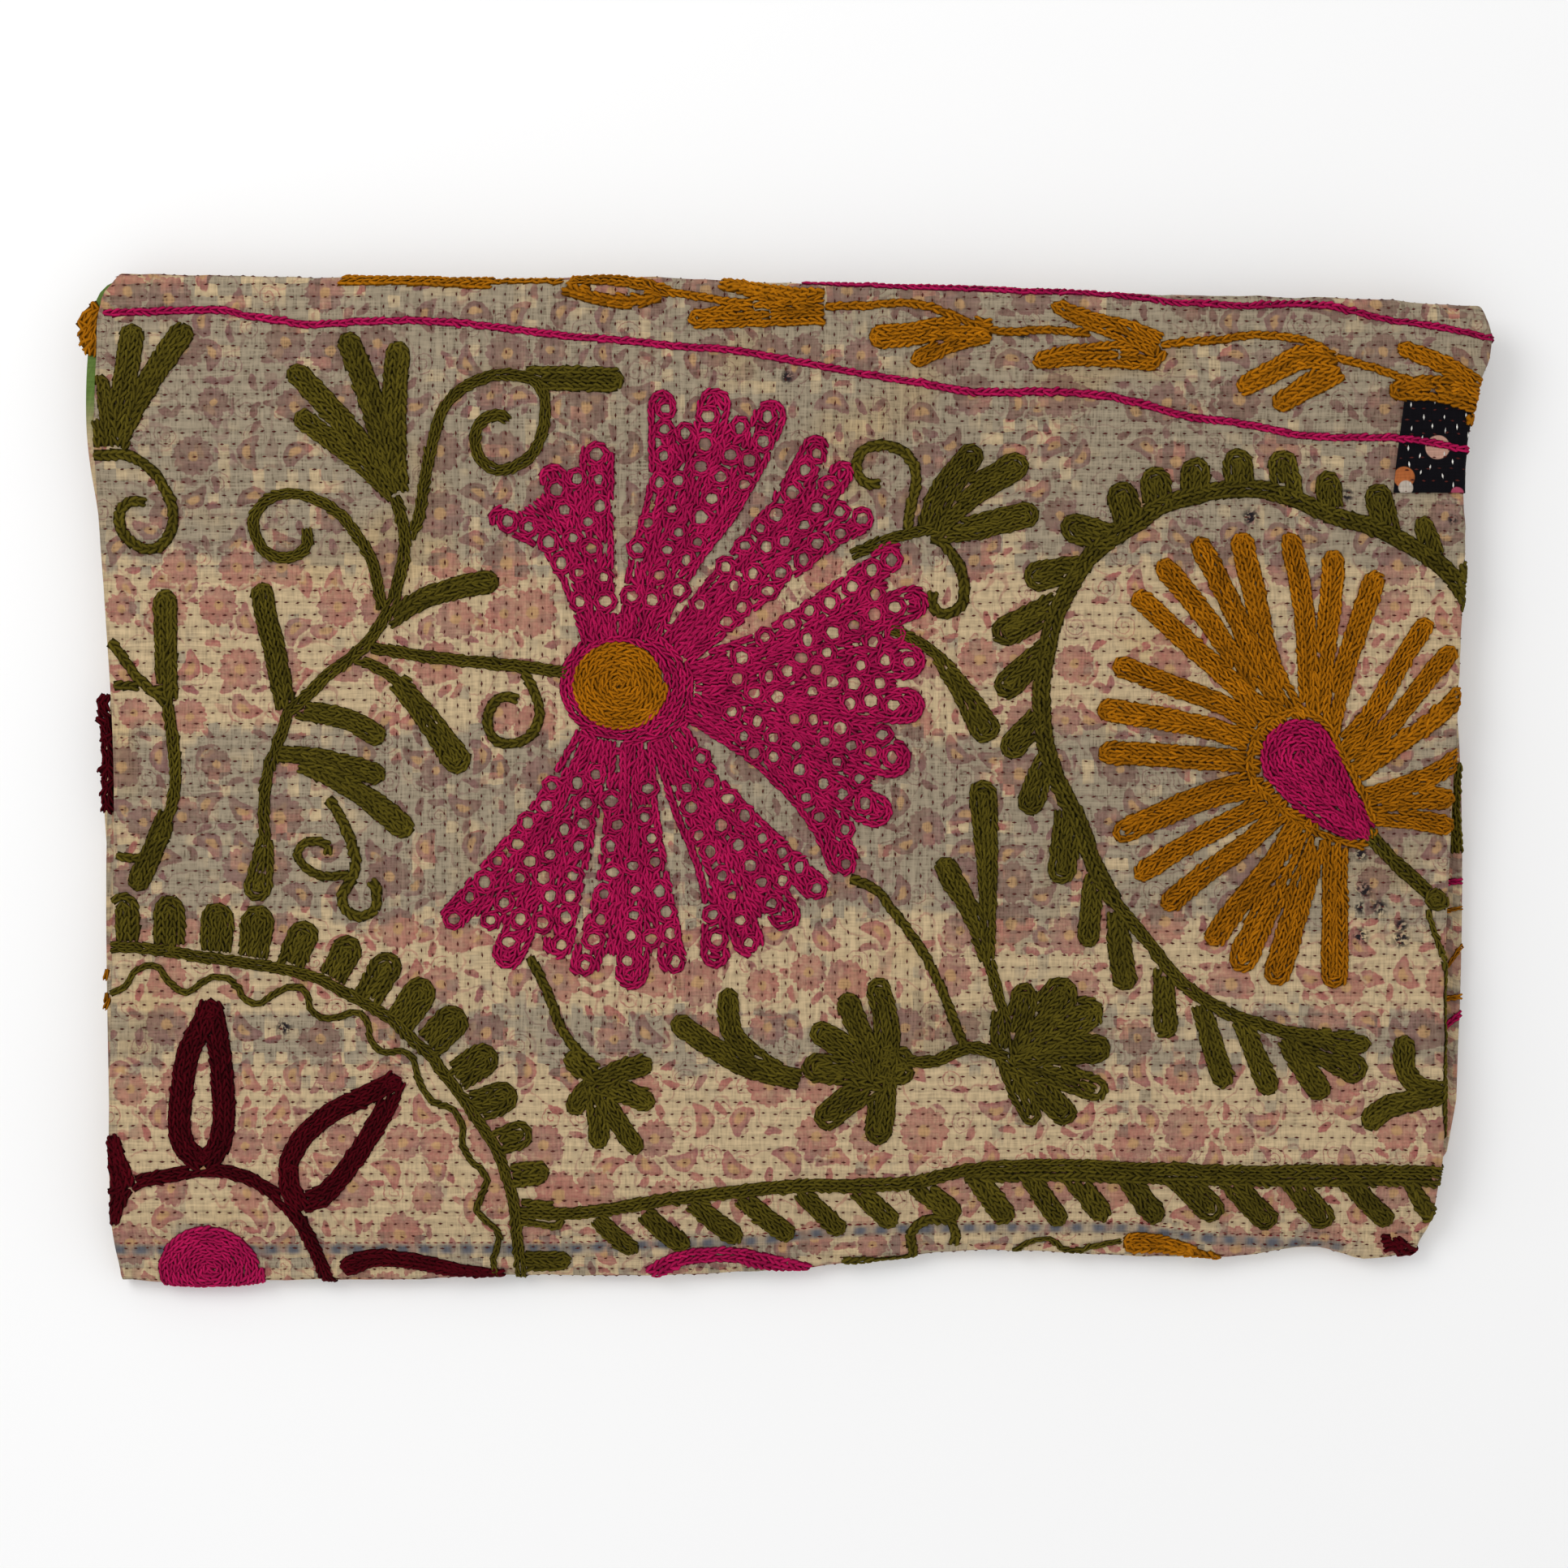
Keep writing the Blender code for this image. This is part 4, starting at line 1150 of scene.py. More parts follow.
def cells_within(radius):
    """Steps from a cell to each cell whose middle lies within a radius."""
    reach = int(radius / CELL) + 1
    grid = np.stack(np.meshgrid(np.arange(-reach, reach + 1), np.arange(-reach, reach + 1)), -1)
    return grid[np.hypot(grid[..., 0], grid[..., 1]) * CELL <= radius].reshape(-1, 2)


def cells_around(centres, steps):
    """The cells at given steps from each centre's own cell."""
    return np.clip(cells_of(centres)[:, None] + steps, 0, CHART_CELLS - 1).reshape(-1, 2)


class Sewing:
    """Links of chain stitch laid row by row. A link is left out where an earlier row of the same
    wool, or any row of the others given, already covers the cloth, so rows may overlap on the
    chart. spread makes every link wider."""

    def __init__(self, seed, others=(), spread=1.0):
        self.random = np.random.default_rng(seed)
        self.spread = spread
        self.taken = np.zeros((CHART_CELLS, CHART_CELLS), bool)
        for other in others:
            for step in ((0, 0), (1, 0), (-1, 0), (0, 1), (0, -1)):
                self.taken |= np.roll(other.taken, step, (0, 1))
        self.parts = []
        self.marks = []
        self.disc = cells_within(TOUCH)
        self.eye = cells_within(HOLE_CLEAR)

    def sew(self, path, width=1.0, raise_mm=0.0, over=False, turn=0.16):
        """Adds one row's links at even pitches along a path."""
        path = even(path, PITCH)
        centre = (path[:-1] + path[1:]) / 2
        run = np.diff(path, axis=0)
        run /= np.maximum(np.hypot(*run.T), 1e-9)[:, None]
        cell = cells_of(centre)
        free = ~self.taken[cell[:, 0], cell[:, 1]] | over
        centre, run = centre[free], run[free]
        if not len(centre):
            return
        self.marks.append(cells_around(centre, self.disc))
        count = len(centre)
        centre = centre + self.random.normal(0, 0.35, (count, 2))
        wobble = self.random.normal(0, turn, count)
        run = np.stack((run[:, 0] - wobble * run[:, 1], run[:, 1] + wobble * run[:, 0]), -1)
        self.parts.append(Links(
            centre, run, self.spread * width * self.random.uniform(0.94, 1.12, count),
            self.random.uniform(-1, 1, count) * 0.7 + self.random.normal(0, 0.35),
            np.full(count, raise_mm) + self.random.uniform(-0.08, 0.12, count)))

    def settle(self):
        """Marks what the last shape covered, so that its own rows don't hinder each other."""
        for around in self.marks:
            self.taken[around[:, 0], around[:, 1]] = True
        self.marks = []

    def shape(self, rows, width=1.0, raise_mm=0.0, over=False, turn=0.16):
        for row in rows:
            self.sew(row, width, raise_mm, over, turn)
        self.settle()

    def hole(self, centre):
        """Keeps an eyelet clear and sews a ring of small links round it."""
        angle = np.linspace(0, 2 * pi, 25)[:, None]
        reach = self.random.uniform(*HOLE_RIM, 2)
        rim = centre + reach * np.concatenate((np.cos(angle), np.sin(angle)), axis=1)
        self.shape([rim], 0.8, 0.05, True)
        around = cells_around(centre[None], self.eye)
        self.taken[around[:, 0], around[:, 1]] = True

    def links(self):
        return Links(*(np.concatenate(values) for values in zip(*self.parts)))


# A running stitch: an eight-sided lozenge of six points.
GRAIN_FACES = np.array((
    (4, 3, 0), (4, 1, 3), (4, 2, 1), (4, 0, 2), (5, 0, 3), (5, 3, 1), (5, 1, 2), (5, 2, 0)))

# One link: two legs that part from the middle of the row and meet again, like one loop of a plait.
# Each leg's rings are (along the pitch, across the row, height in mm, thickness share).
LEG_RINGS = np.array((
    (-0.64, 0.05, 0.40, 0.70),
    (-0.12, 0.21, 0.88, 1.00),
    (0.36, 0.34, 0.88, 1.00),
    (0.70, 0.25, 0.30, 0.60),
))
RING_ANGLES = np.array((0.0, pi / 2, pi, 3 * pi / 2))
# The bed under each link: a low pyramid painted dark as shade between the rows.
BED_LENGTH = 0.56
BED_WIDTH = 0.50
BED_BASE_MM = 0.15
BED_TOP_MM = 0.60


def poly_mesh(name, points, faces):
    """A mesh from arrays of points and of faces, one array for each number of corners."""
    mesh = bpy.data.meshes.new(name)
    corners = np.concatenate([face.ravel() for face in faces])
    totals = np.concatenate([np.full(len(face), face.shape[1]) for face in faces])
    mesh.vertices.add(len(points))
    mesh.vertices.foreach_set("co", points.astype(np.float32).ravel())
    mesh.loops.add(len(corners))
    mesh.loops.foreach_set("vertex_index", corners.astype(np.int32))
    mesh.polygons.add(len(totals))
    mesh.polygons.foreach_set("loop_start", (np.cumsum(totals) - totals).astype(np.int32))
    mesh.polygons.foreach_set("loop_total", totals.astype(np.int32))
    mesh.update(calc_edges=True)
    mesh.validate()
    return mesh


def point_value(mesh, name, values):
    """Keeps one number per point, for the materials."""
    layer = mesh.attributes.new(name, "FLOAT", "POINT")
    layer.data.foreach_set("value", values.astype(np.float32).ravel())


def flat_place(chart_x, chart_y):
    """One chart place as a flat place in metres, for a material."""
    return (chart_x - CHART_CENTRE_X) * CHART_UNIT, (CHART_CENTRE_Y - chart_y) * CHART_UNIT, 0.0


def flat_of(chart):
    """Flat places in metres of chart places."""
    x = (chart[..., 0] - CHART_CENTRE_X) * CHART_UNIT
    return x, (CHART_CENTRE_Y - chart[..., 1]) * CHART_UNIT


def on_layer(chart, flat_x, layer=LAYER_0):
    """Where the chart lies between the left hem and a little way under the right and layer folds."""
    _, flat_y = flat_of(chart)
    across = np.clip((flat_x + 0.345) / 0.68, 0, 1)
    start, end = ends(layer, across)
    far_centre, near_centre = np.maximum(start, end), np.minimum(start, end)
    y = np.clip(flat_y, near_centre, far_centre)
    left, turn_centre, _ = side_edges(layer, across, y)
    past_side = flat_x - turn_centre
    past_end = np.maximum(flat_y - far_centre, near_centre - flat_y)
    return (
        (flat_x > left + 1.2 * MM) & (past_side < 2.4 * side_fold_reach())
        & (past_end < 2.3 * layer_fold_reach()))


def leg_shape(settings):
    """Points of one leg: a ring of four points at each place along it, round its middle line."""
    along_row = LEG_RINGS[:, 0, None] * settings.pitch + 0 * RING_ANGLES
    half = settings.strand / 2 * LEG_RINGS[:, 3, None]
    across_row = LEG_RINGS[:, 1, None] * settings.row + half * np.sin(RING_ANGLES)
    height = LEG_RINGS[:, 2, None] * MM + 0.8 * half * np.cos(RING_ANGLES)
    # Painted shading of the ring: 1 on its top, 0 at its bottom.
    depth = np.broadcast_to(0.5 + 0.5 * np.cos(RING_ANGLES), height.shape)
    return np.stack((along_row, across_row, height, depth), axis=-1).reshape(-1, 4)


def leg_faces():
    """Squares between the rings and a square at each end, outwards on the left leg of a pair."""
    ring = np.arange(4)
    ahead = np.roll(ring, -1)
    first = np.arange(len(LEG_RINGS) - 1)[:, None] * 4
    sides = np.stack((first + ring, first + ahead, first + 4 + ahead, first + 4 + ring), axis=-1)
    last = 4 * (len(LEG_RINGS) - 1)
    return np.concatenate((sides.reshape(-1, 4), [ring[::-1]], [last + ring]))


def wool_piece(name, links, material, settings, cloth, layer=LAYER_0, past_hem=False):
    """One piece of chain stitch: a plait of two legs for each link, and a low pyramid of wool under
    it that hides the cloth, painted dark as shade between the rows."""
    right = leg_shape(settings)
    left = right * (1, -1, 1, 1)
    squares = leg_faces()
    legs = np.concatenate((right, left))
    leg_squares = np.concatenate((squares[:, ::-1], squares + len(right)))
    # Painted shade: the bed's foot gets painted shading 0 and its top 0.3, so it shows as dark wool.
    bed = np.array([
        (run * BED_LENGTH * settings.pitch, side * BED_WIDTH * settings.row, BED_BASE_MM * MM, 0.0)
        for run, side in ((-1, -1), (1, -1), (1, 1), (-1, 1))
    ] + [(0, 0, BED_TOP_MM * MM, 0.3)])
    shape = np.concatenate((legs, bed))
    first = len(legs)
    bed_sides = np.array(((0, 1, 4), (1, 2, 4), (2, 3, 4), (3, 0, 4))) + first
    leg_squares = np.concatenate((leg_squares, [np.array((3, 2, 1, 0)) + first]))
    inside = on_layer(links.centre, flat_of(links.centre)[0], layer) | past_hem
    links = Links(*(value[inside] for value in links))
    side = np.stack((links.run[:, 1], -links.run[:, 0]), axis=-1)
    run = links.run[:, None] * shape[None, :, 0, None] / CHART_UNIT
    across = side[:, None] * (shape[None, :, 1, None] * links.width[:, None, None]) / CHART_UNIT
    chart = links.centre[:, None] + run + across
    flat_x, flat_y = flat_of(chart)
    lift = shape[None, :, 2] + links.raise_mm[:, None] * MM + patch_rise(chart)
    points = on_cloth(flat_x, flat_y, lift, layer).reshape(-1, 3) + np.array(cloth.shift)
    start = (np.arange(len(links.centre)) * len(shape))[:, None, None]
    mesh = poly_mesh(name, points, (
        (leg_squares + start).reshape(-1, 4), (bed_sides + start).reshape(-1, 3)))
    random = np.random.default_rng(SEED + 30)
    own = random.normal(0, 0.5, (len(links.centre), 3))
    tone = links.tone[:, None] + np.repeat(own, (len(right), len(left), len(bed)), axis=1)
    point_value(mesh, "tone", tone)
    # Each point's painted shading: light on the strands' tops, dark at their bottoms and on the bed.
    point_value(mesh, "depth", np.tile(shape[:, 3], len(links.centre)))
    piece = new_object(name, mesh, material)
    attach(piece, BODY)
    return piece


def patch_rise(chart):
    """How far the patch lifts what is sewn over it: a smooth step at its edges."""
    inside = smooth((chart[..., 0] - PATCH_LEFT + 10) / 8)
    inside = inside * smooth((chart[..., 1] - PATCH_FAR + 4) / 8)
    inside = inside * smooth((PATCH_NEAR + 4 - chart[..., 1]) / 8)
    return 1.1 * MM * inside


def stitch_lattice():
    """Places of the running stitches: rows an even distance apart, every other one half a pitch
    along, upright inside one block and level elsewhere, each a little off its place."""
    random = np.random.default_rng(SEED + 10)
    left, right, near = UPRIGHT_BLOCK
    low_x, high_x = -0.37, 0.37
    low_y, high_y = -0.28, 0.28
    places = []
    for upright in (False, True):
        low_run, high_run, low_row, high_row = low_x, high_x, low_y, high_y
        if upright:
            low_run, high_run, low_row, high_row = low_y, high_y, low_x, high_x
        row = np.arange(np.floor(low_row / STITCH_ROWS), np.ceil(high_row / STITCH_ROWS))[:, None]
        number = np.arange(np.floor(low_run / STITCH_PITCH), np.ceil(high_run / STITCH_PITCH))
        run = (number + 0.5 - 0.5 * np.mod(row, 2)) * STITCH_PITCH
        off = np.broadcast_to((row + 0.5) * STITCH_ROWS, run.shape)
        x, y = (off, run) if upright else (run, off)
        chart_x, chart_y = chart_of(x, y)
        block = (chart_x > left) & (chart_x < right) & (chart_y < near)
        keep = block if upright else ~block
        places.append(np.stack((x[keep], y[keep], np.full(keep.sum(), float(upright))), axis=-1))
    places = np.concatenate(places)
    x, y = (places[:, :2] + random.normal(0, STITCH_JITTER, (len(places), 2))).T
    return x, y, places[:, 2]


def grain_piece(name, chart, upright, size, material, lift=0.0):
    """Small eight-sided grains on the cloth, one for each stitch, long along its row."""
    random = np.random.default_rng(SEED + 11)
    count = len(chart)
    length = size[0] / 2 * random.uniform(0.8, 1.2, count)
    width = size[1] / 2 * random.uniform(0.85, 1.2, count)
    angle = upright * pi / 2 + random.normal(0, 0.12, count)
    s = np.stack((-length, length, 0 * length, 0 * length, 0 * length, 0 * length), axis=-1)
    t = np.stack((0 * width, 0 * width, -width, width, 0 * width, 0 * width), axis=-1)
    height = np.array(GRAIN_HEIGHTS)
    cosine, sine = np.cos(angle)[:, None], np.sin(angle)[:, None]
    flat_x, flat_y = flat_of(chart)
    x = flat_x[:, None] + s * cosine - t * sine
    y = flat_y[:, None] + s * sine + t * cosine
    around = np.stack((x / CHART_UNIT + CHART_CENTRE_X, CHART_CENTRE_Y - y / CHART_UNIT), axis=-1)
    points = on_cloth(x, y, height + lift + patch_rise(around)).reshape(-1, 3)
    points = points + np.array(bpy.context.scene.suzani_cloth.shift)
    start = (np.arange(count) * 6)[:, None, None]
    mesh = poly_mesh(name, points, ((GRAIN_FACES + start).reshape(-1, 3),))
    point_value(mesh, "tone", np.repeat(random.uniform(-1, 1, count), 6))
    piece = new_object(name, mesh, material)
    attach(piece, BODY)
    return piece


# Node helpers. Each adds one node to a tree and gives its output; values may be numbers or sockets.
def feed(tree, value, socket):
    if isinstance(value, bpy.types.NodeSocket):
        tree.links.new(value, socket)
    else:
        socket.default_value = value


def maths(tree, operation, *values, clamp=False):
    node = tree.nodes.new("ShaderNodeMath")
    node.operation = operation
    node.use_clamp = clamp
    for value, socket in zip(values, node.inputs):
        feed(tree, value, socket)
    return node.outputs[0]


def times(tree, first, second):
    return maths(tree, "MULTIPLY", first, second)


def plus(tree, first, second):
    return maths(tree, "ADD", first, second)


def minus(tree, first, second):
    return maths(tree, "SUBTRACT", first, second)


def divided(tree, first, second):
    return maths(tree, "DIVIDE", first, second)


def times_plus(tree, value, factor, added):
    return maths(tree, "MULTIPLY_ADD", value, factor, added)


def vectors(tree, operation, *values):
    node = tree.nodes.new("ShaderNodeVectorMath")
    node.operation = operation
    for value, socket in zip(values, node.inputs):
        feed(tree, value, socket)
    return node.outputs["Value" if operation in {"LENGTH", "DISTANCE", "DOT_PRODUCT"} else "Vector"]


def scaled(tree, colour, factor):
    """A colour made lighter or darker by a factor."""
    node = tree.nodes.new("ShaderNodeVectorMath")
    node.operation = "SCALE"
    feed(tree, colour, node.inputs[0])
    feed(tree, factor, node.inputs["Scale"])
    return node.outputs["Vector"]


def mixed(tree, factor, first, second, blend="MIX"):
    node = tree.nodes.new("ShaderNodeMix")
    node.data_type = "RGBA"
    node.blend_type = blend
    feed(tree, factor, node.inputs[0])
    feed(tree, first, node.inputs[6])
    feed(tree, second, node.inputs[7])
    return node.outputs[2]


def ranged(tree, value, low, high, to_low=0.0, to_high=1.0):
    """Maps a value smoothly from one range to another, clamped."""
    node = tree.nodes.new("ShaderNodeMapRange")
    node.interpolation_type = "SMOOTHSTEP"
    for number, one in enumerate((value, low, high, to_low, to_high)):
        feed(tree, one, node.inputs[number])
    return node.outputs[0]


def noise(tree, vector, scale, detail=3.0, roughness=0.55):
    node = tree.nodes.new("ShaderNodeTexNoise")
    feed(tree, vector, node.inputs["Vector"])
    node.inputs["Scale"].default_value = scale
    node.inputs["Detail"].default_value = detail
    node.inputs["Roughness"].default_value = roughness
    return node.outputs["Fac"]


def cells(tree, vector, scale, randomness):
    """Voronoi cells: the random colour and the centre of each."""
    node = tree.nodes.new("ShaderNodeTexVoronoi")
    node.voronoi_dimensions = "2D"
    feed(tree, vector, node.inputs["Vector"])
    node.inputs["Scale"].default_value = scale
    node.inputs["Randomness"].default_value = randomness
    return node.outputs["Color"], node.outputs["Position"]


def parts(tree, vector):
    node = tree.nodes.new("ShaderNodeSeparateXYZ")
    feed(tree, vector, node.inputs[0])
    return node.outputs[0], node.outputs[1], node.outputs[2]


def vector_of(tree, x, y, z=0.0):
    node = tree.nodes.new("ShaderNodeCombineXYZ")
    for value, socket in zip((x, y, z), node.inputs):
        feed(tree, value, socket)
    return node.outputs[0]


def new_group(name, takes, gives):
    """A shader node group with named sockets. takes and gives are (name, kind) pairs."""
    tree = bpy.data.node_groups.new(name, "ShaderNodeTree")
    for label, kind in takes:
        tree.interface.new_socket(label, in_out="INPUT", socket_type="NodeSocket" + kind)
    for label, kind in gives:
        tree.interface.new_socket(label, in_out="OUTPUT", socket_type="NodeSocket" + kind)
    return tree, tree.nodes.new("NodeGroupInput"), tree.nodes.new("NodeGroupOutput")


def placed(tree, group, **values):
    """A group's node in a tree, with its inputs fed by name."""
    node = tree.nodes.new("ShaderNodeGroup")
    node.node_tree = group
    for name, value in values.items():
        feed(tree, value, node.inputs[name])
    return node.outputs


def weave_group():
    """Loose plain weave with slubs: noise drawn out along the warp and along the weft, and a fine
    checker of crossing sine waves. Thread shading is the slubs' own tone with a painted highlight on
    raised threads; Gap shade is painted shade in the gaps between them."""
    tree, start, end = new_group(
        "cotton_weave", (("Flat", "Vector"),),
        (("Thread shading", "Float"), ("Gap shade", "Float"), ("Height", "Float")))
    flat = start.outputs["Flat"]
    warp = noise(tree, vectors(tree, "MULTIPLY", flat, (1100.0, 90.0, 1.0)), 1.0, 3.0)
    weft = noise(tree, vectors(tree, "MULTIPLY", flat, (90.0, 1100.0, 1.0)), 1.0, 3.0)
    x, y, _ = parts(tree, flat)
    wave = times(tree, maths(tree, "SINE", times(tree, x, THREAD_TURN)),
                 maths(tree, "SINE", times(tree, y, THREAD_TURN)))
    threads = times_plus(tree, plus(tree, warp, weft), 0.5, 0.0)
    threads = times_plus(tree, wave, 0.06, threads)
    # Painted shade in the gaps where warp and weft both run thin.
    dark = times(tree, ranged(tree, warp, 0.50, 0.36), ranged(tree, weft, 0.54, 0.38))
    feed(tree, ranged(tree, threads, 0.30, 0.70), end.inputs["Thread shading"])
    feed(tree, dark, end.inputs["Gap shade"])
    feed(tree, times(tree, threads, WEAVE_DEPTH), end.inputs["Height"])
    return tree


def dimple_group():
    """The quilting's dimples: bells at each running stitch, in a trough along each row. Where the
    rows stand upright, the two directions change places. Dimple shade is their shape, used as
    painted shade in the hollows; Height is their bump."""
    tree, start, end = new_group(
        "running_dimples", (("Flat", "Vector"), ("Upright", "Float")),
        (("Dimple shade", "Float"), ("Height", "Float")))
    x, y, _ = parts(tree, start.outputs["Flat"])
    upright = start.outputs["Upright"]
    level_run = times_plus(tree, minus(tree, y, x), upright, x)
    level_row = times_plus(tree, minus(tree, x, y), upright, y)
    row = divided(tree, level_row, STITCH_ROWS)
    number = maths(tree, "FLOOR", row)
    odd = times(tree, maths(tree, "FLOORED_MODULO", number, 2.0), 0.5)
    run = maths(tree, "FRACT", plus(tree, divided(tree, level_run, STITCH_PITCH), odd))
    from_row = times(tree, minus(tree, maths(tree, "FRACT", row), 0.5), STITCH_ROWS / TROUGH_WIDTH)
    from_stitch = times(tree, minus(tree, run, 0.5), STITCH_PITCH / DIMPLE_LENGTH)
    across = times(tree, from_row, from_row)
    forward = times(tree, from_stitch, from_stitch)
    trough = maths(tree, "EXPONENT", times(tree, across, -1.0))
    bell = maths(tree, "EXPONENT", times(tree, plus(tree, across, forward), -1.0))
    hollow = times_plus(tree, trough, 0.25, times(tree, bell, 0.75))
    feed(tree, hollow, end.inputs["Dimple shade"])
    feed(tree, times(tree, hollow, -DIMPLE_DEPTH), end.inputs["Height"])
    return tree


def motif_frame(tree, flat, scale, randomness):
    """A cell's own turned frame: x and y from its centre, its radius and angle, and three numbers."""
    colour, centre = cells(tree, flat, scale, randomness)
    first, second, third = parts(tree, colour)
    x, y, _ = parts(tree, vectors(tree, "SUBTRACT", flat, centre))
    turn = times(tree, first, 2 * pi)
    sine, cosine = maths(tree, "SINE", turn), maths(tree, "COSINE", turn)
    own_x = minus(tree, times(tree, x, cosine), times(tree, y, sine))
    own_y = plus(tree, times(tree, x, sine), times(tree, y, cosine))
    radius = maths(tree, "SQRT", plus(tree, times(tree, x, x), times(tree, y, y)))
    angle = maths(tree, "ARCTAN2", own_y, own_x)
    return own_x, own_y, radius, angle, second, third


def oval_in_cell(tree, ground, cell, randomness, offset, half, bend):
    """A turned oval in each cell: its own radius, which is 1 at the rim, and a number for the cell.
    With a bend, its long middle line is a parabola, as in a kidney."""
    moved = vectors(tree, "ADD", ground, (*offset, 0.0))
    x, y, _, _, pick, _ = motif_frame(tree, moved, 1 / cell, randomness)
    bent = times_plus(tree, times(tree, y, y), bend, x)
    wide = divided(tree, bent, half[0])
    tall = divided(tree, y, half[1])
    square = plus(tree, times(tree, wide, wide), times(tree, tall, tall))
    return maths(tree, "SQRT", square), pick


def petals_in_cell(tree, ground):
    """Eight round petals with a nick at the tip, round a disc and a heart, in each cell: the distance
    to the nearest petal's middle or the disc's, and to the heart, each over its radius, and a number
    for the cell."""
    _, _, radius, angle, pick, size = motif_frame(tree, ground, 1 / FLOWER_CELL, 0.62)
    radius = times(tree, radius, times_plus(tree, size, 0.46, 0.76))
    folded = minus(tree, maths(tree, "FLOORED_MODULO", angle, pi / 4), pi / 8)
    reach = times(tree, times(tree, radius, maths(tree, "COSINE", folded)), -2 * PETAL_OUT)
    square = plus(tree, times_plus(tree, radius, radius, PETAL_OUT ** 2), reach)
    petal = divided(tree, maths(tree, "SQRT", maths(tree, "MAXIMUM", square, 0.0)), PETAL_RADIUS)
    nick = ranged(tree, maths(tree, "ABSOLUTE", folded), 0.10, 0.02)
    tip = ranged(tree, radius, PETAL_OUT + 0.45 * PETAL_RADIUS, PETAL_OUT + PETAL_RADIUS)
    petal = plus(tree, petal, times(tree, nick, tip))
    petal = maths(tree, "MINIMUM", petal, divided(tree, radius, PETAL_OUT))
    return petal, divided(tree, radius, PETAL_HEART), pick


def print_group():
    """A faded cotton print. In scattered cells: flowers of eight round petals, kidneys with a light
    core, small leaves, and thin spirals, all joined by thin stems."""
    tree, start, end = new_group(
        "faded_print", (("Flat", "Vector"),), (("Print", "Float"), ("Heart", "Float")))
    flat = start.outputs["Flat"]
    wander = vectors(tree, "MULTIPLY", vector_of(
        tree, minus(tree, noise(tree, flat, 200.0, 1.0), 0.5),
        minus(tree, noise(tree, vectors(tree, "ADD", flat, (3.1, 1.7, 0.0)), 200.0, 1.0), 0.5)),
        (0.0024, 0.0024, 0.0))
    ragged = vectors(tree, "MULTIPLY", vector_of(
        tree, minus(tree, noise(tree, flat, 950.0, 2.0), 0.5),
        minus(tree, noise(tree, vectors(tree, "ADD", flat, (1.9, 4.3, 0.0)), 950.0, 2.0), 0.5)),
        (0.0017, 0.0017, 0.0))
    ground = vectors(tree, "ADD", vectors(tree, "ADD", flat, wander), ragged)
    petal, heart, pick = petals_in_cell(tree, ground)
    chosen = maths(tree, "LESS_THAN", pick, FLOWER_SHARE)
    clear = minus(tree, 1.0, times(tree, ranged(tree, petal, 1.62, 1.22, 0.0, 0.75), chosen))
    flower = times(tree, ranged(tree, petal, 1.06, 0.94), chosen)
    rim = times(tree, ranged(tree, petal, 0.55, 1.0), 0.18)
    flower = times(tree, flower, plus(tree, rim, 0.82))
    heart = times(tree, ranged(tree, heart, 1.15, 0.75), chosen)
    kidney, pick = oval_in_cell(tree, ground, KIDNEY_CELL, 0.62, (0.53, 0.31), KIDNEY_HALF, 62.0)
    chosen = times(tree, maths(tree, "LESS_THAN", pick, KIDNEY_SHARE), clear)
    drop = times(tree, ranged(tree, kidney, 1.06, 0.95), chosen)
    drop = times(tree, drop, times_plus(tree, ranged(tree, kidney, 0.55, 1.0), 0.15, 0.85))
    core = times(tree, ranged(tree, kidney, 0.52, 0.30), chosen)
    halo = times(tree, ranged(tree, kidney, 1.50, 1.15, 0.0, 0.75), chosen)
    clear = times(tree, clear, minus(tree, 1.0, halo))
    oval, pick = oval_in_cell(tree, ground, LEAF_CELL, 0.80, (0.17, 0.83), LEAF_HALF, 40.0)
    leaf = times(tree, ranged(tree, oval, 1.08, 0.92), maths(tree, "LESS_THAN", pick, LEAF_SHARE))
    moved = vectors(tree, "ADD", ground, (0.91, 0.27, 0.0))
    _, _, radius, angle, pick, _ = motif_frame(tree, moved, 1 / SPIRAL_CELL, 0.75)
    turns = maths(tree, "COSINE", times_plus(tree, radius, 2300.0, angle))
    within = ranged(tree, radius, SPIRAL_REACH, SPIRAL_REACH - 0.8 * MM)
    spiral = times(tree, ranged(tree, turns, 0.72, 0.92), within)
    spiral = times(tree, times(tree, spiral, maths(tree, "LESS_THAN", pick, SPIRAL_SHARE)), 0.85)
    contour = maths(tree, "ABSOLUTE", minus(tree, noise(tree, ground, 42.0, 1.0), 0.5))
    stem = times(tree, ranged(tree, contour, 0.014, 0.007), 0.5)
    small = times(tree, maths(tree, "MAXIMUM", maths(tree, "MAXIMUM", leaf, spiral), stem), clear)
    shown = maths(tree, "MAXIMUM", maths(tree, "MAXIMUM", flower, drop), small)
    worn = ranged(tree, noise(tree, flat, 900.0, 4.0, 0.7), 0.32, 0.60, 0.80, 1.0)
    gone = noise(tree, vectors(tree, "ADD", flat, (2.7, 0.6, 0.0)), 210.0, 3.0)
    gone = ranged(tree, gone, 0.36, 0.48, 0.74, 1.0)
    worn = times(tree, worn, gone)
    pale = ranged(tree, noise(tree, flat, 55.0, 2.0), 0.30, 0.70, 0.84, 1.0)
    feed(tree, times(tree, times(tree, shown, worn), pale), end.inputs["Print"])
    feed(tree, times(tree, maths(tree, "MAXIMUM", heart, core), 0.85), end.inputs["Heart"])
    return tree


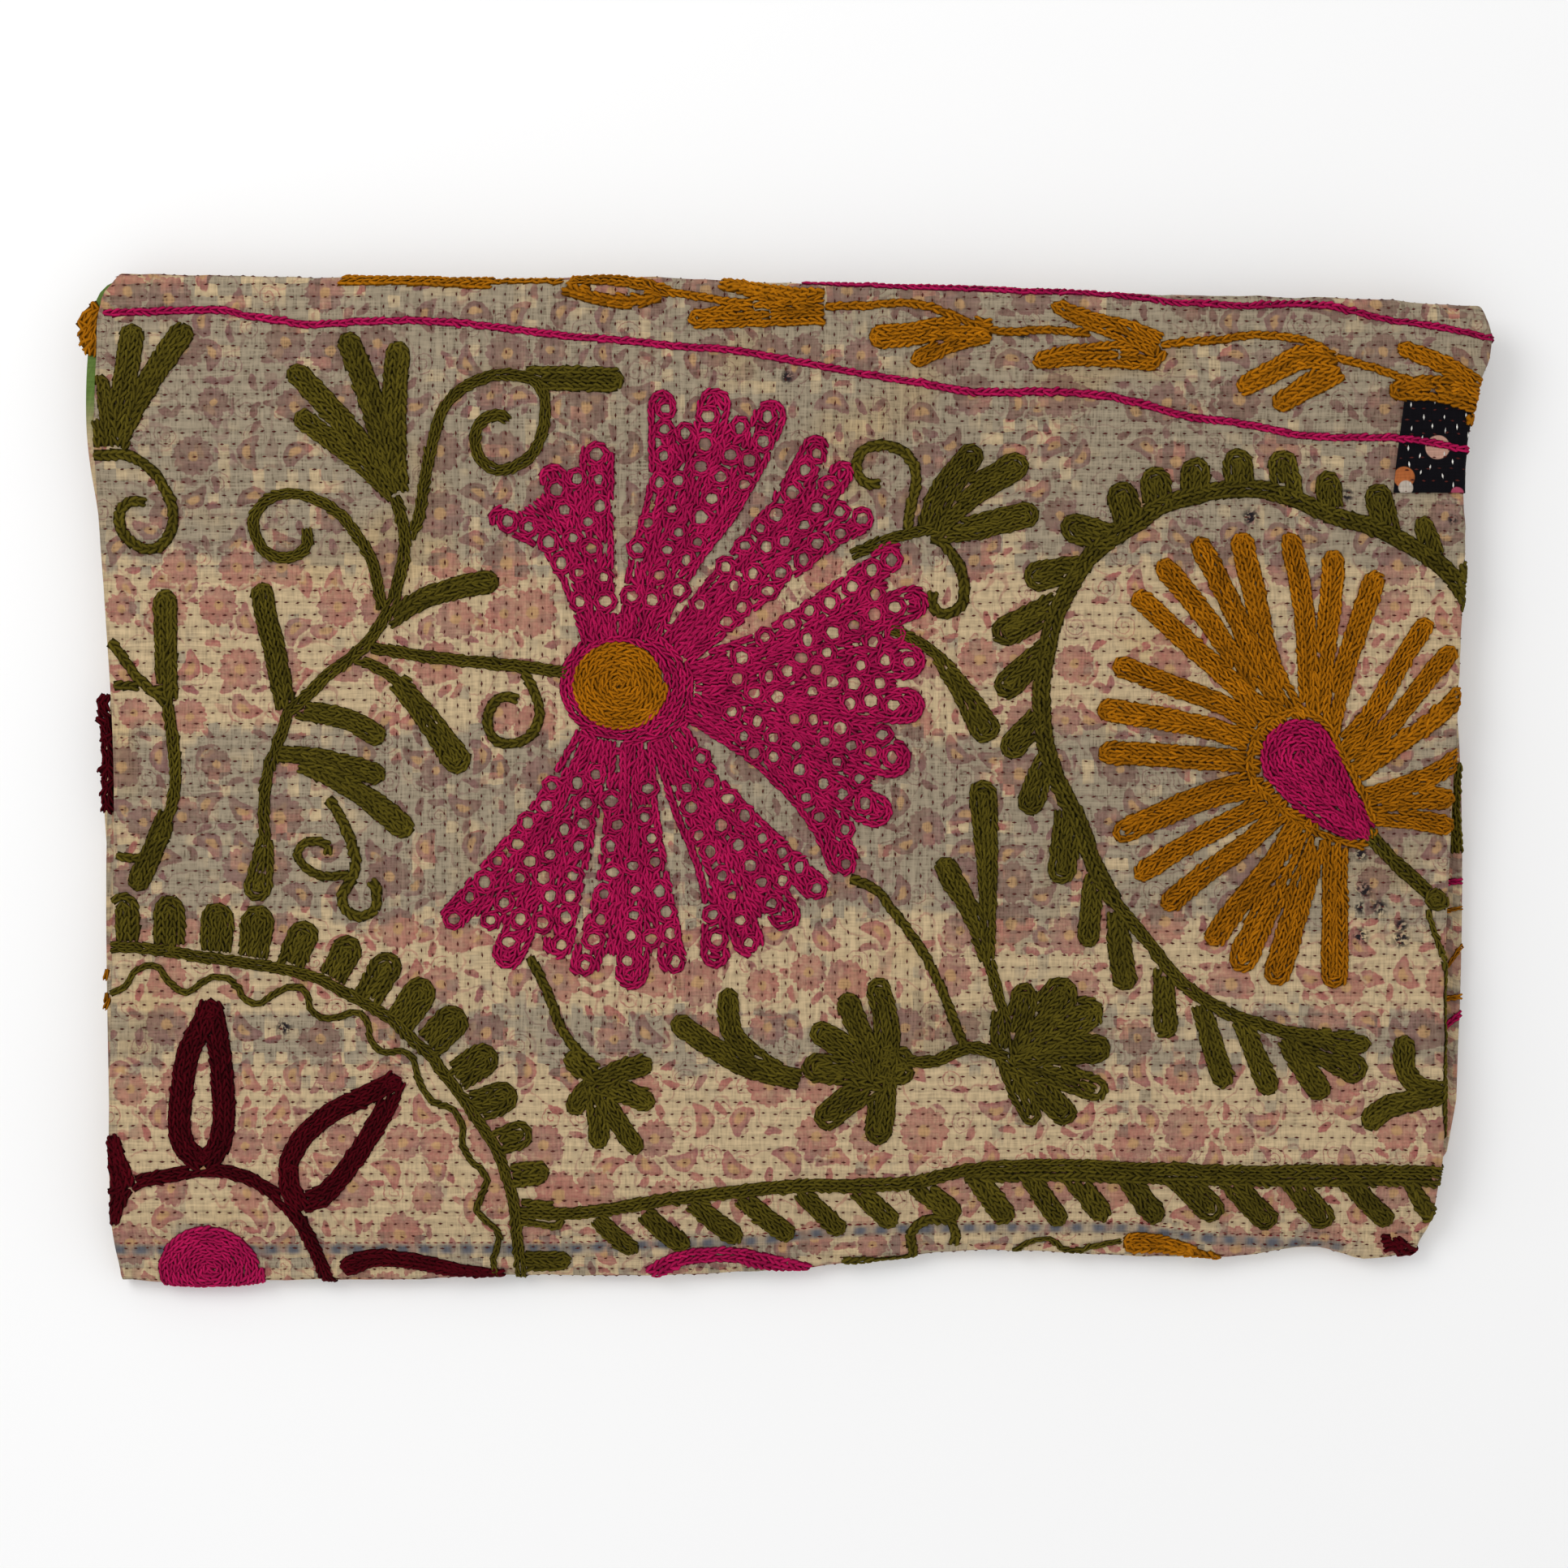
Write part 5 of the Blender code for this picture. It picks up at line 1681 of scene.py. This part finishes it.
def stepped(tree, value, table, top=1.0):
    """A table's straight-line curve over a value: pairs of place and height, 0 to top."""
    low, high = table[0][0], table[-1][0]
    ramp = tree.nodes.new("ShaderNodeValToRGB")
    ramp.color_ramp.interpolation = "LINEAR"
    while len(ramp.color_ramp.elements) < len(table):
        ramp.color_ramp.elements.new(0.5)
    for stop, (place, height) in zip(ramp.color_ramp.elements, table):
        stop.position = (place - low) / (high - low)
        stop.color = (height / top, height / top, height / top, 1.0)
    share = divided(tree, minus(tree, value, low), high - low)
    feed(tree, share, ramp.inputs["Fac"])
    return times(tree, ramp.outputs["Color"], top)


def wear_group():
    """Greyed bands across the quilt, uneven fading, yellow stains and dark worn spots."""
    tree, start, end = new_group(
        "faded_bands", (("Flat", "Vector"),),
        (("Grey", "Float"), ("Stain", "Float"), ("Soil", "Float"), ("Band", "Float")))
    flat = start.outputs["Flat"]
    x, y, _ = parts(tree, flat)
    uneven = times_plus(tree, noise(tree, flat, 60.0, 3.0), 0.020, -0.010)
    chart_y = minus(tree, CHART_CENTRE_Y, divided(tree, plus(tree, y, uneven), CHART_UNIT))
    banded = stepped(tree, chart_y, GREY_BANDS)
    blotch = ranged(tree, noise(tree, flat, 22.0, 3.0), 0.35, 0.68, -0.18, 0.18)
    lattice = vectors(tree, "MULTIPLY", flat, (1 / STITCH_PITCH, 1 / STITCH_ROWS, 1.0))
    one_cell, _, _ = parts(tree, cells(tree, lattice, 1.0, 0.15)[0])
    grey = plus(tree, banded, blotch)
    uneven = times_plus(tree, one_cell, 0.56, -0.28)
    grey = ranged(tree, plus(tree, grey, uneven), 0.30, 0.62)
    stain = ranged(tree, noise(tree, vectors(tree, "ADD", flat, (5.0, 2.0, 0.0)), 13.0, 2.0), 0.56, 0.72)
    soil = noise(tree, vectors(tree, "MULTIPLY", flat, (1.0, 1.9, 1.0)), 330.0, 3.0)
    soil = ranged(tree, soil, 0.67, 0.72)
    spots = 0.0
    for spot_x, spot_y, reach in WORN_SPOTS:
        away = vectors(tree, "DISTANCE", flat, flat_place(spot_x, spot_y))
        spot = ranged(tree, away, reach * CHART_UNIT, 0.25 * reach * CHART_UNIT)
        spots = maths(tree, "MAXIMUM", spots, spot)
    near = times(tree, spots, ranged(tree, noise(tree, flat, 420.0, 3.0), 0.44, 0.52))
    feed(tree, grey, end.inputs["Grey"])
    chart_x = times_plus(tree, x, 1 / CHART_UNIT, CHART_CENTRE_X)
    even_y = minus(tree, CHART_CENTRE_Y, divided(tree, y, CHART_UNIT))
    line = stepped(tree, chart_x, [(at, place - BAND_BASE) for at, place in BAND_LINE], 50.0)
    off = maths(tree, "ABSOLUTE", minus(tree, even_y, plus(tree, line, BAND_BASE)))
    blot = maths(tree, "SINE", times(tree, chart_x, 2 * pi / BAND_BLOT))
    smudge = times_plus(tree, noise(tree, flat, 160.0, 2.0), 2.0, -1.0)
    blot = ranged(tree, plus(tree, blot, smudge), -1.3, 1.1, 0.36, 1.0)
    within = ranged(tree, off, BAND_HALF + 4.0, BAND_HALF - 5.0)
    within = times(tree, within, ranged(tree, chart_x, 1700.0, 1640.0))
    feed(tree, times(tree, blot, within), end.inputs["Band"])
    feed(tree, stain, end.inputs["Stain"])
    feed(tree, maths(tree, "MAXIMUM", near, times(tree, soil, 0.35)), end.inputs["Soil"])
    return tree


def yarn_group():
    """Wool: each link a little lighter or darker, painted shade in the depths between strands and
    a painted highlight on their tops, and fuzzy.
    """
    tree, start, end = new_group(
        "wool_yarn", (("Colour", "Color"), ("Tone", "Float"), ("Depth", "Float"), ("Place", "Vector")),
        (("Colour", "Color"), ("Height", "Float")))
    fuzz = noise(tree, start.outputs["Place"], 2600.0, 3.0, 0.6)
    patchy = noise(tree, start.outputs["Place"], 45.0, 2.0)
    light = times_plus(tree, start.outputs["Tone"], 0.20, 1.0)
    # Painted shade and painted highlight, by each point's painted shading.
    light = times(tree, light, ranged(tree, start.outputs["Depth"], 0.0, 1.0, YARN_PAINTED_SHADE, YARN_PAINTED_HIGHLIGHT))
    light = times(tree, light, times_plus(tree, fuzz, 0.7, 0.65))
    light = times(tree, light, times_plus(tree, patchy, 0.5, 0.75))
    feed(tree, scaled(tree, start.outputs["Colour"], light), end.inputs["Colour"])
    feed(tree, times(tree, fuzz, YARN_FUZZ), end.inputs["Height"])
    return tree


def attribute(tree, name):
    node = tree.nodes.new("ShaderNodeAttribute")
    node.attribute_name = name
    return node.outputs["Fac"]


def flat_map(tree):
    node = tree.nodes.new("ShaderNodeUVMap")
    node.uv_map = "flat"
    return node.outputs["UV"]


def new_material(name, roughness, sheen):
    """An empty material, its tree and its shader, with what is the same all over on the shader."""
    material = bpy.data.materials.new(name)
    material.use_nodes = True
    tree = material.node_tree
    surface = tree.nodes["Principled BSDF"]
    surface.inputs["Roughness"].default_value = roughness
    surface.inputs["Specular IOR Level"].default_value = 0.06
    surface.inputs["Sheen Weight"].default_value = sheen
    surface.inputs["Sheen Roughness"].default_value = 0.5
    return material, tree, surface


def bump(tree, height, surface):
    node = tree.nodes.new("ShaderNodeBump")
    node.inputs["Strength"].default_value = 1.0
    node.inputs["Distance"].default_value = 1.0
    feed(tree, height, node.inputs["Height"])
    feed(tree, node.outputs["Normal"], surface.inputs["Normal"])


def upright_share(tree, flat):
    """1 where the rows of running stitch stand upright, and 0 where they lie across."""
    x, y, _ = parts(tree, flat)
    left, right, near = UPRIGHT_BLOCK
    inside = times(tree, maths(tree, "GREATER_THAN", x, (left - CHART_CENTRE_X) * CHART_UNIT),
                   maths(tree, "LESS_THAN", x, (right - CHART_CENTRE_X) * CHART_UNIT))
    return times(tree, inside, maths(tree, "GREATER_THAN", y, (CHART_CENTRE_Y - near) * CHART_UNIT))


def printed_cotton(settings, groups):
    material, tree, surface = new_material("printed_cotton", 0.92, 0.03)
    flat = flat_map(tree)
    weave = placed(tree, groups["weave"], Flat=flat)
    dimples = placed(tree, groups["dimples"], Flat=flat, Upright=upright_share(tree, flat))
    pattern = placed(tree, groups["print"], Flat=flat)
    wear = placed(tree, groups["wear"], Flat=flat)
    colour = mixed(tree, wear["Grey"], tuple(settings.cream), tuple(settings.grey))
    colour = mixed(tree, times(tree, wear["Stain"], 0.35), colour, STAIN_COLOUR)
    fade = times_plus(tree, wear["Grey"], -0.10, 0.96)
    fade = times(tree, fade, minus(tree, 1.0, wear["Band"]))
    rose = mixed(tree, wear["Grey"], tuple(settings.rose), GREY_ROSE)
    mauve = ranged(tree, noise(tree, vectors(tree, "ADD", flat, (1.3, 4.2, 0.0)), 38.0, 2.0), 0.45, 0.62)
    rose = mixed(tree, times(tree, mauve, 0.6), rose, MAUVE)
    colour = mixed(tree, times(tree, pattern["Print"], fade), colour, rose)
    colour = mixed(tree, times(tree, pattern["Heart"], fade), colour, tuple(settings.heart))
    # Painted shade in the gaps between threads, stronger where the cotton is greyed.
    gap_shade = times(tree, weave["Gap shade"], times_plus(tree, wear["Grey"], 0.45, 0.18))
    colour = mixed(tree, gap_shade, colour, GAP_SHADE_COLOUR)
    colour = mixed(tree, wear["Band"], colour, BAND_BLUE)
    # Painted highlight on raised threads and painted shade between them, with the slubs' own tone.
    shade = times_plus(tree, weave["Thread shading"], 0.50, 0.75)
    # Painted shade in the quilting's dimples and troughs.
    shade = times(tree, shade, times_plus(tree, dimples["Dimple shade"], -0.20, 1.03))
    colour = mixed(tree, wear["Soil"], scaled(tree, colour, shade), SOIL_COLOUR)
    feed(tree, colour, surface.inputs["Base Color"])
    bump(tree, plus(tree, weave["Height"], dimples["Height"]), surface)
    return material


def backing_cotton(settings, groups):
    """The under half's own colours, by place along the cloth: green at the far left, maroon in the
    middle, else the faded print."""
    material, tree, surface = new_material("backing_cotton", 0.92, 0.03)
    flat = flat_map(tree)
    weave = placed(tree, groups["weave"], Flat=flat)
    pattern = placed(tree, groups["print"], Flat=flat)
    _, y, _ = parts(tree, flat)
    chart_y = minus(tree, CHART_CENTRE_Y, divided(tree, y, CHART_UNIT))
    colour = mixed(tree, times(tree, pattern["Print"], 0.6), tuple(settings.cream), tuple(settings.rose))
    for (far_out, far_in, near_in, near_out), tint in BACKING_STRIPES:
        far_end = ranged(tree, chart_y, far_out, far_in)
        near_end = ranged(tree, chart_y, near_out, near_in)
        stripe = times(tree, far_end, near_end)
        colour = mixed(tree, stripe, colour, tint)
    # Painted highlight on raised threads and painted shade between them, with the slubs' own tone.
    light = times_plus(tree, weave["Thread shading"], 0.45, 0.75)
    feed(tree, scaled(tree, colour, light), surface.inputs["Base Color"])
    bump(tree, weave["Height"], surface)
    return material


def dark_cotton(groups):
    """Nearly black cotton with a few printed rounds."""
    material, tree, surface = new_material("patch_cotton", 0.9, 0.0)
    flat = flat_map(tree)
    weave = placed(tree, groups["weave"], Flat=flat)
    colour = PATCH_BLACK
    for dot_x, dot_y, reach, tint in PATCH_ROUNDS:
        away = vectors(tree, "DISTANCE", flat, flat_place(dot_x, dot_y))
        inside = ranged(tree, away, (reach + 0.8) * CHART_UNIT, (reach - 0.8) * CHART_UNIT)
        colour = mixed(tree, inside, colour, tint)
    # Painted highlight on raised threads and painted shade between them, with the slubs' own tone.
    light = times_plus(tree, weave["Thread shading"], 0.5, 0.75)
    feed(tree, scaled(tree, colour, light), surface.inputs["Base Color"])
    bump(tree, weave["Height"], surface)
    return material


def wool_material(name, colour, groups):
    material, tree, surface = new_material(name, 0.95, 0.0)
    place = tree.nodes.new("ShaderNodeTexCoord").outputs["Object"]
    yarn = placed(
        tree, groups["yarn"], Colour=tuple(colour), Tone=attribute(tree, "tone"),
        Depth=attribute(tree, "depth"), Place=place)
    feed(tree, yarn["Colour"], surface.inputs["Base Color"])
    bump(tree, yarn["Height"], surface)
    return material


def thread_material(name, colour, groups):
    """Sewing thread, each stitch a little lighter or darker."""
    material, tree, surface = new_material(name, 0.85, 0.0)
    place = tree.nodes.new("ShaderNodeTexCoord").outputs["Object"]
    yarn = placed(
        tree, groups["yarn"], Colour=tuple(colour), Tone=attribute(tree, "tone"), Depth=0.7,
        Place=place)
    feed(tree, yarn["Colour"], surface.inputs["Base Color"])
    return material


def groups_made():
    """The shared node groups, each made once."""
    makers = {
        "weave": ("cotton_weave", weave_group),
        "dimples": ("running_dimples", dimple_group),
        "print": ("faded_print", print_group),
        "wear": ("faded_bands", wear_group),
        "yarn": ("wool_yarn", yarn_group),
    }
    return {key: bpy.data.node_groups.get(name) or make() for key, (name, make) in makers.items()}


def plain_material(name, colour, roughness):
    material = bpy.data.materials.new(name)
    material.use_nodes = True
    surface = material.node_tree.nodes["Principled BSDF"]
    surface.inputs["Base Color"].default_value = colour
    surface.inputs["Roughness"].default_value = roughness
    return material


class SUZANI_OT_cloth(Operator):
    """Makes the folded sheet of quilted, printed cotton"""

    bl_idname = "suzani.cloth"
    bl_label = "Quilted cloth"

    def execute(self, context):
        settings = context.scene.suzani_cloth
        points, flats = cloth_grid()
        shift = centre_shift(points)
        context.scene.suzani_cloth.shift = shift
        mesh = grid_mesh("printed_cloth", points + shift, flats)
        groups = groups_made()
        piece = new_object("printed_cloth", mesh, printed_cotton(settings, groups))
        piece.data.materials.append(backing_cotton(settings, groups))
        solidify(piece, settings.thickness, 0.0)
        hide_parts("quilt")
        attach(piece, BODY)
        return {"FINISHED"}


class SUZANI_OT_patch(Operator):
    """Makes the dark printed patch sewn round the right fold"""

    bl_idname = "suzani.patch"
    bl_label = "Dark patch"

    def execute(self, context):
        settings = context.scene.suzani_cloth
        chart_x = np.linspace(PATCH_LEFT, PATCH_LEFT + PATCH_ACROSS, 70)
        chart_y = np.linspace(PATCH_FAR, PATCH_NEAR, 60)[:, None]
        slant = (chart_y - PATCH_FAR) / (PATCH_NEAR - PATCH_FAR)
        chart_x = chart_x - PATCH_SLANT * slant * (1 - (chart_x - PATCH_LEFT) / PATCH_ACROSS)
        chart_x, chart_y = np.broadcast_arrays(chart_x, chart_y)
        x = (chart_x - CHART_CENTRE_X) * CHART_UNIT
        y = (CHART_CENTRE_Y - chart_y) * CHART_UNIT
        points = on_cloth(x, y, PATCH_STANDOFF) + np.array(settings.shift)
        mesh = grid_mesh("dark_patch", points, np.stack((x, y), axis=-1))
        piece = new_object("dark_patch", mesh, dark_cotton(groups_made()))
        piece.data.materials.append(piece.data.materials[0])
        solidify(piece, PATCH_THICKNESS, 0.0)
        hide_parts("patch")
        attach(piece, BODY)
        random = np.random.default_rng(SEED + 12)
        column, row = np.meshgrid(np.arange(8), np.arange(5))
        place_x = PATCH_LEFT + 8 + 14 * column + random.normal(0, 1.8, column.shape)
        place_y = PATCH_FAR + 14 + 25 * row + 12 * np.mod(column, 2) + random.normal(0, 2.5, column.shape)
        chart = np.stack((place_x, place_y), axis=-1).reshape(-1, 2)
        chart = chart[chart[:, 1] < PATCH_NEAR - 6]
        material = thread_material("white_thread", WHITE_THREAD, groups_made())
        grain_piece("patch_stitches", chart, np.ones(len(chart)), PATCH_STITCH, material)
        return {"FINISHED"}


def sew_lines(sewing, lines, raise_mm, over=False, turn=0.16):
    for line in lines:
        rows, width = line_rows(line)
        sewing.shape(rows, width, raise_mm, over, turn)


def sew_lobes(sewing, lobes, raise_mm):
    """Sews fingers, then fills what their nested rows leave open along the middle."""
    for lobe in lobes:
        rows, width = lobe_rows(lobe)
        sewing.shape(rows, width, raise_mm)
        path = curve(lobe.points)
        side = normals(path)
        inside = length_along(path) < length_along(path)[-1] - 0.55 * lobe.tip_width
        for share in (0.0, 0.2, -0.2, 0.4, -0.4):
            reach = share * min(lobe.tip_width, lobe.base_width)
            if inside.sum() > 4:
                sewing.shape([(path + reach * side)[inside]], 1.05, raise_mm - 0.05)


def wool_plan():
    """Every wool's links, and the cells of the chart that each covers."""
    settings = bpy.context.scene.suzani_wool
    magenta = Sewing(SEED)
    sew_lines(magenta, MAGENTA_LINES, -0.1, True)
    sew_lobes(magenta, MAGENTA_LOBES, 0.25)
    magenta.shape(disc_rows(DOME), 1.0, 0.1)
    # The cells of the drop-shaped heart alone, which the ochre keeps clear of.
    tear = Sewing(SEED)
    sew_lobes(tear, MAGENTA_LOBES, 0.25)
    flower = Sewing(SEED + 5, (magenta,))
    for petal in FLOWER_PETALS:
        for centre in petal_holes(petal):
            flower.hole(centre)
        for finger in petal:
            rows, width = lobe_rows(finger)
            flower.shape(rows[:1], 0.95 * width, 0.1)
        for finger in petal:
            rows, width = lobe_rows(finger)
            flower.shape(rows[1:], 0.95 * width, turn=0.3)
        for row in between_rows(petal):
            flower.shape([row], 0.95, turn=0.3)
    for reach, share in COLLAR:
        angle = np.linspace(-share * pi, share * pi, 80)
        collar = np.stack((
            FLOWER_HEART.x + reach * FLOWER_HEART.across / 2 * np.cos(angle),
            FLOWER_HEART.y + reach * FLOWER_HEART.along / 2 * np.sin(angle)), axis=-1)
        flower.shape([collar], 0.95, turn=0.2)
    ochre = Sewing(SEED + 1, (tear,))
    ochre.shape(disc_rows(FLOWER_HEART), 1.05, 0.6)
    sew_lines(ochre, (HEART_EDGE,), 0.2)
    sew_lines(ochre, OCHRE_LINES, 0.0)
    sew_lobes(ochre, OCHRE_LOBES, 0.1)
    leaves = Sewing(SEED + 2)
    leaves.shape(disc_rows(KNOB), 1.0, 0.1)
    sew_lines(leaves, OLIVE_LINES, 0.05)
    sew_lobes(leaves, OLIVE_LOBES, 0.0)
    wreaths = Sewing(SEED + 3)
    sew_lines(wreaths, WREATH_LINES, 0.05)
    sew_lobes(wreaths, WREATH_LOBES, 0.0)
    maroon = Sewing(SEED + 4, spread=1.14)
    sew_lobes(maroon, MAROON_LOBES, 0.0)
    sew_lines(maroon, MAROON_LINES, 0.05)
    for tip in MAROON_TIPS:
        maroon.shape(disc_rows(tip), 1.0, 0.05)
    return {
        "magenta_flower": (flower, settings.magenta),
        "magenta_wool": (magenta, settings.magenta),
        "ochre_wool": (ochre, settings.ochre),
        "olive_leaves": (leaves, settings.olive),
        "olive_wreaths": (wreaths, settings.olive),
        "maroon_wool": (maroon, settings.maroon),
    }


class SUZANI_OT_wool(Operator):
    """Makes the chain-stitch flowers, leaves, vines and wreaths"""

    bl_idname = "suzani.wool"
    bl_label = "Wool chain stitch"

    def execute(self, context):
        settings = context.scene.suzani_wool
        groups = groups_made()
        cloth = context.scene.suzani_cloth
        made = {}
        for name, (sewing, colour) in wool_plan().items():
            made[name] = wool_material(name, colour, groups)
            wool_piece(name, sewing.links(), made[name], settings, cloth)
        for name, wool, lines, drop, layer in (
            ("strip_magenta", "magenta_wool", STRIP_MAGENTA, 0.0, LAYER_2),
            ("strip_ochre", "ochre_wool", STRIP_OCHRE, 0.0, LAYER_2),
            ("strip_olive", "olive_leaves", STRIP_OLIVE, 0.0, LAYER_2),
            ("hem_ochre", "ochre_wool", HEM_OCHRE, HEM_DROP_MM, LAYER_0),
            ("hem_maroon", "maroon_wool", HEM_MAROON, HEM_DROP_MM, LAYER_0),
        ):
            sewing = Sewing(SEED + 5)
            sew_lines(sewing, lines, drop, True, 0.16 if layer == LAYER_2 else 0.6)
            wool_piece(name, sewing.links(), made[wool], settings, cloth, layer, layer == LAYER_0)
        return {"FINISHED"}


class SUZANI_OT_stitches(Operator):
    """Makes the running stitches between the wool"""

    bl_idname = "suzani.stitches"
    bl_label = "Running stitches"

    def execute(self, context):
        cloth = context.scene.suzani_cloth
        taken = np.zeros((CHART_CELLS, CHART_CELLS), bool)
        for sewing, _ in wool_plan().values():
            taken |= sewing.taken
        x, y, upright = stitch_lattice()
        chart = np.stack(chart_of(x, y), axis=-1)
        cell = cells_of(chart)
        bare = ~taken[cell[:, 0], cell[:, 1]] & on_layer(chart, x)
        material = thread_material("running_thread", cloth.stitch, groups_made())
        stitch = (cloth.stitch_length, cloth.stitch_width)
        grain_piece("running_stitches", chart[bare], upright[bare], stitch, material)
        seam_x = np.arange(*SEAM_RUN, BAND_RED_STEP)
        seam = np.stack((seam_x, band_middle(seam_x) - BAND_RED_OFF), axis=-1)
        cell = cells_of(seam)
        seam = seam[~taken[cell[:, 0], cell[:, 1]] & on_layer(seam, flat_of(seam)[0])]
        material = thread_material("seam_thread", SEAM_RED, groups_made())
        grain_piece("seam_stitches", seam, np.zeros(len(seam)), SEAM_STITCH, material)
        return {"FINISHED"}


class SUZANI_OT_studio(Operator):
    """Makes the pale floor, the soft light and the camera straight above"""

    bl_idname = "suzani.studio"
    bl_label = "Studio"

    def execute(self, context):
        scene = context.scene
        mesh = bpy.data.meshes.new("floor")
        edge = FLOOR_SIZE / 2
        corners = (
            (-edge, -edge, FLOOR_Z), (edge, -edge, FLOOR_Z), (edge, edge, FLOOR_Z), (-edge, edge, FLOOR_Z))
        mesh.from_pydata(corners, [], ((0, 1, 2, 3),))
        floor = new_object("floor", mesh, plain_material("pale_floor", FLOOR_COLOUR, FLOOR_ROUGHNESS))
        world = bpy.data.worlds.new("soft_room")
        world.use_nodes = True
        world.node_tree.nodes["Background"].inputs["Color"].default_value = (1, 1, 1, 1)
        world.node_tree.nodes["Background"].inputs["Strength"].default_value = WORLD_STRENGTH
        scene.world = world
        for number, lamp in enumerate(LAMPS):
            light = bpy.data.lights.new(f"soft_lamp_{number}", "AREA")
            light.shape = "DISK"
            light.size = lamp.size
            light.energy = lamp.power
            holder = bpy.data.objects.new(light.name, light)
            holder.location = lamp.place
            holder.rotation_euler = (-Vector(lamp.place)).to_track_quat("-Z", "Y").to_euler()
            scene.collection.objects.link(holder)
        camera = bpy.data.cameras.new("camera")
        camera.lens = LENS
        camera.sensor_width = SENSOR
        holder = bpy.data.objects.new("camera", camera)
        height = VIEW_WIDTH * LENS / SENSOR
        shift = scene.suzani_cloth.shift
        holder.location = (
            CAMERA_CENTRE[0] + shift[0], CAMERA_CENTRE[1] + shift[1], height + CAMERA_FOCUS_HEIGHT)
        camera.clip_end = 20.0
        scene.collection.objects.link(holder)
        scene.camera = holder
        scene.view_settings.view_transform = "Standard"
        return {"FINISHED"}


class SUZANI_PT_panel(Panel):
    """Lists the steps that make the quilt"""

    bl_label = "Suzani quilt"
    bl_idname = "SUZANI_PT_panel"
    bl_space_type = "VIEW_3D"
    bl_region_type = "UI"
    bl_category = "Suzani"

    def draw(self, context):
        column = self.layout.column()
        for operator in OPERATORS:
            column.operator(operator.bl_idname)
        for group in (context.scene.suzani_cloth, context.scene.suzani_wool):
            for name in group.bl_rna.properties.keys():
                if name not in {"rna_type", "name", "shift"}:
                    column.prop(group, name)


OPERATORS = (
    SUZANI_OT_cloth,
    SUZANI_OT_patch,
    SUZANI_OT_wool,
    SUZANI_OT_stitches,
    SUZANI_OT_studio,
)
CLASSES = (SuzaniCloth, SuzaniWool, *OPERATORS, SUZANI_PT_panel)


def register():
    for one in CLASSES:
        bpy.utils.register_class(one)
    bpy.types.Scene.suzani_cloth = PointerProperty(type=SuzaniCloth)
    bpy.types.Scene.suzani_wool = PointerProperty(type=SuzaniWool)


def unregister():
    del bpy.types.Scene.suzani_wool
    del bpy.types.Scene.suzani_cloth
    for one in reversed(CLASSES):
        bpy.utils.unregister_class(one)


def main():
    register()
    bpy.ops.suzani.cloth()
    bpy.ops.suzani.patch()
    bpy.ops.suzani.wool()
    bpy.ops.suzani.stitches()
    bpy.ops.suzani.studio()


if __name__ == "__main__":
    main()
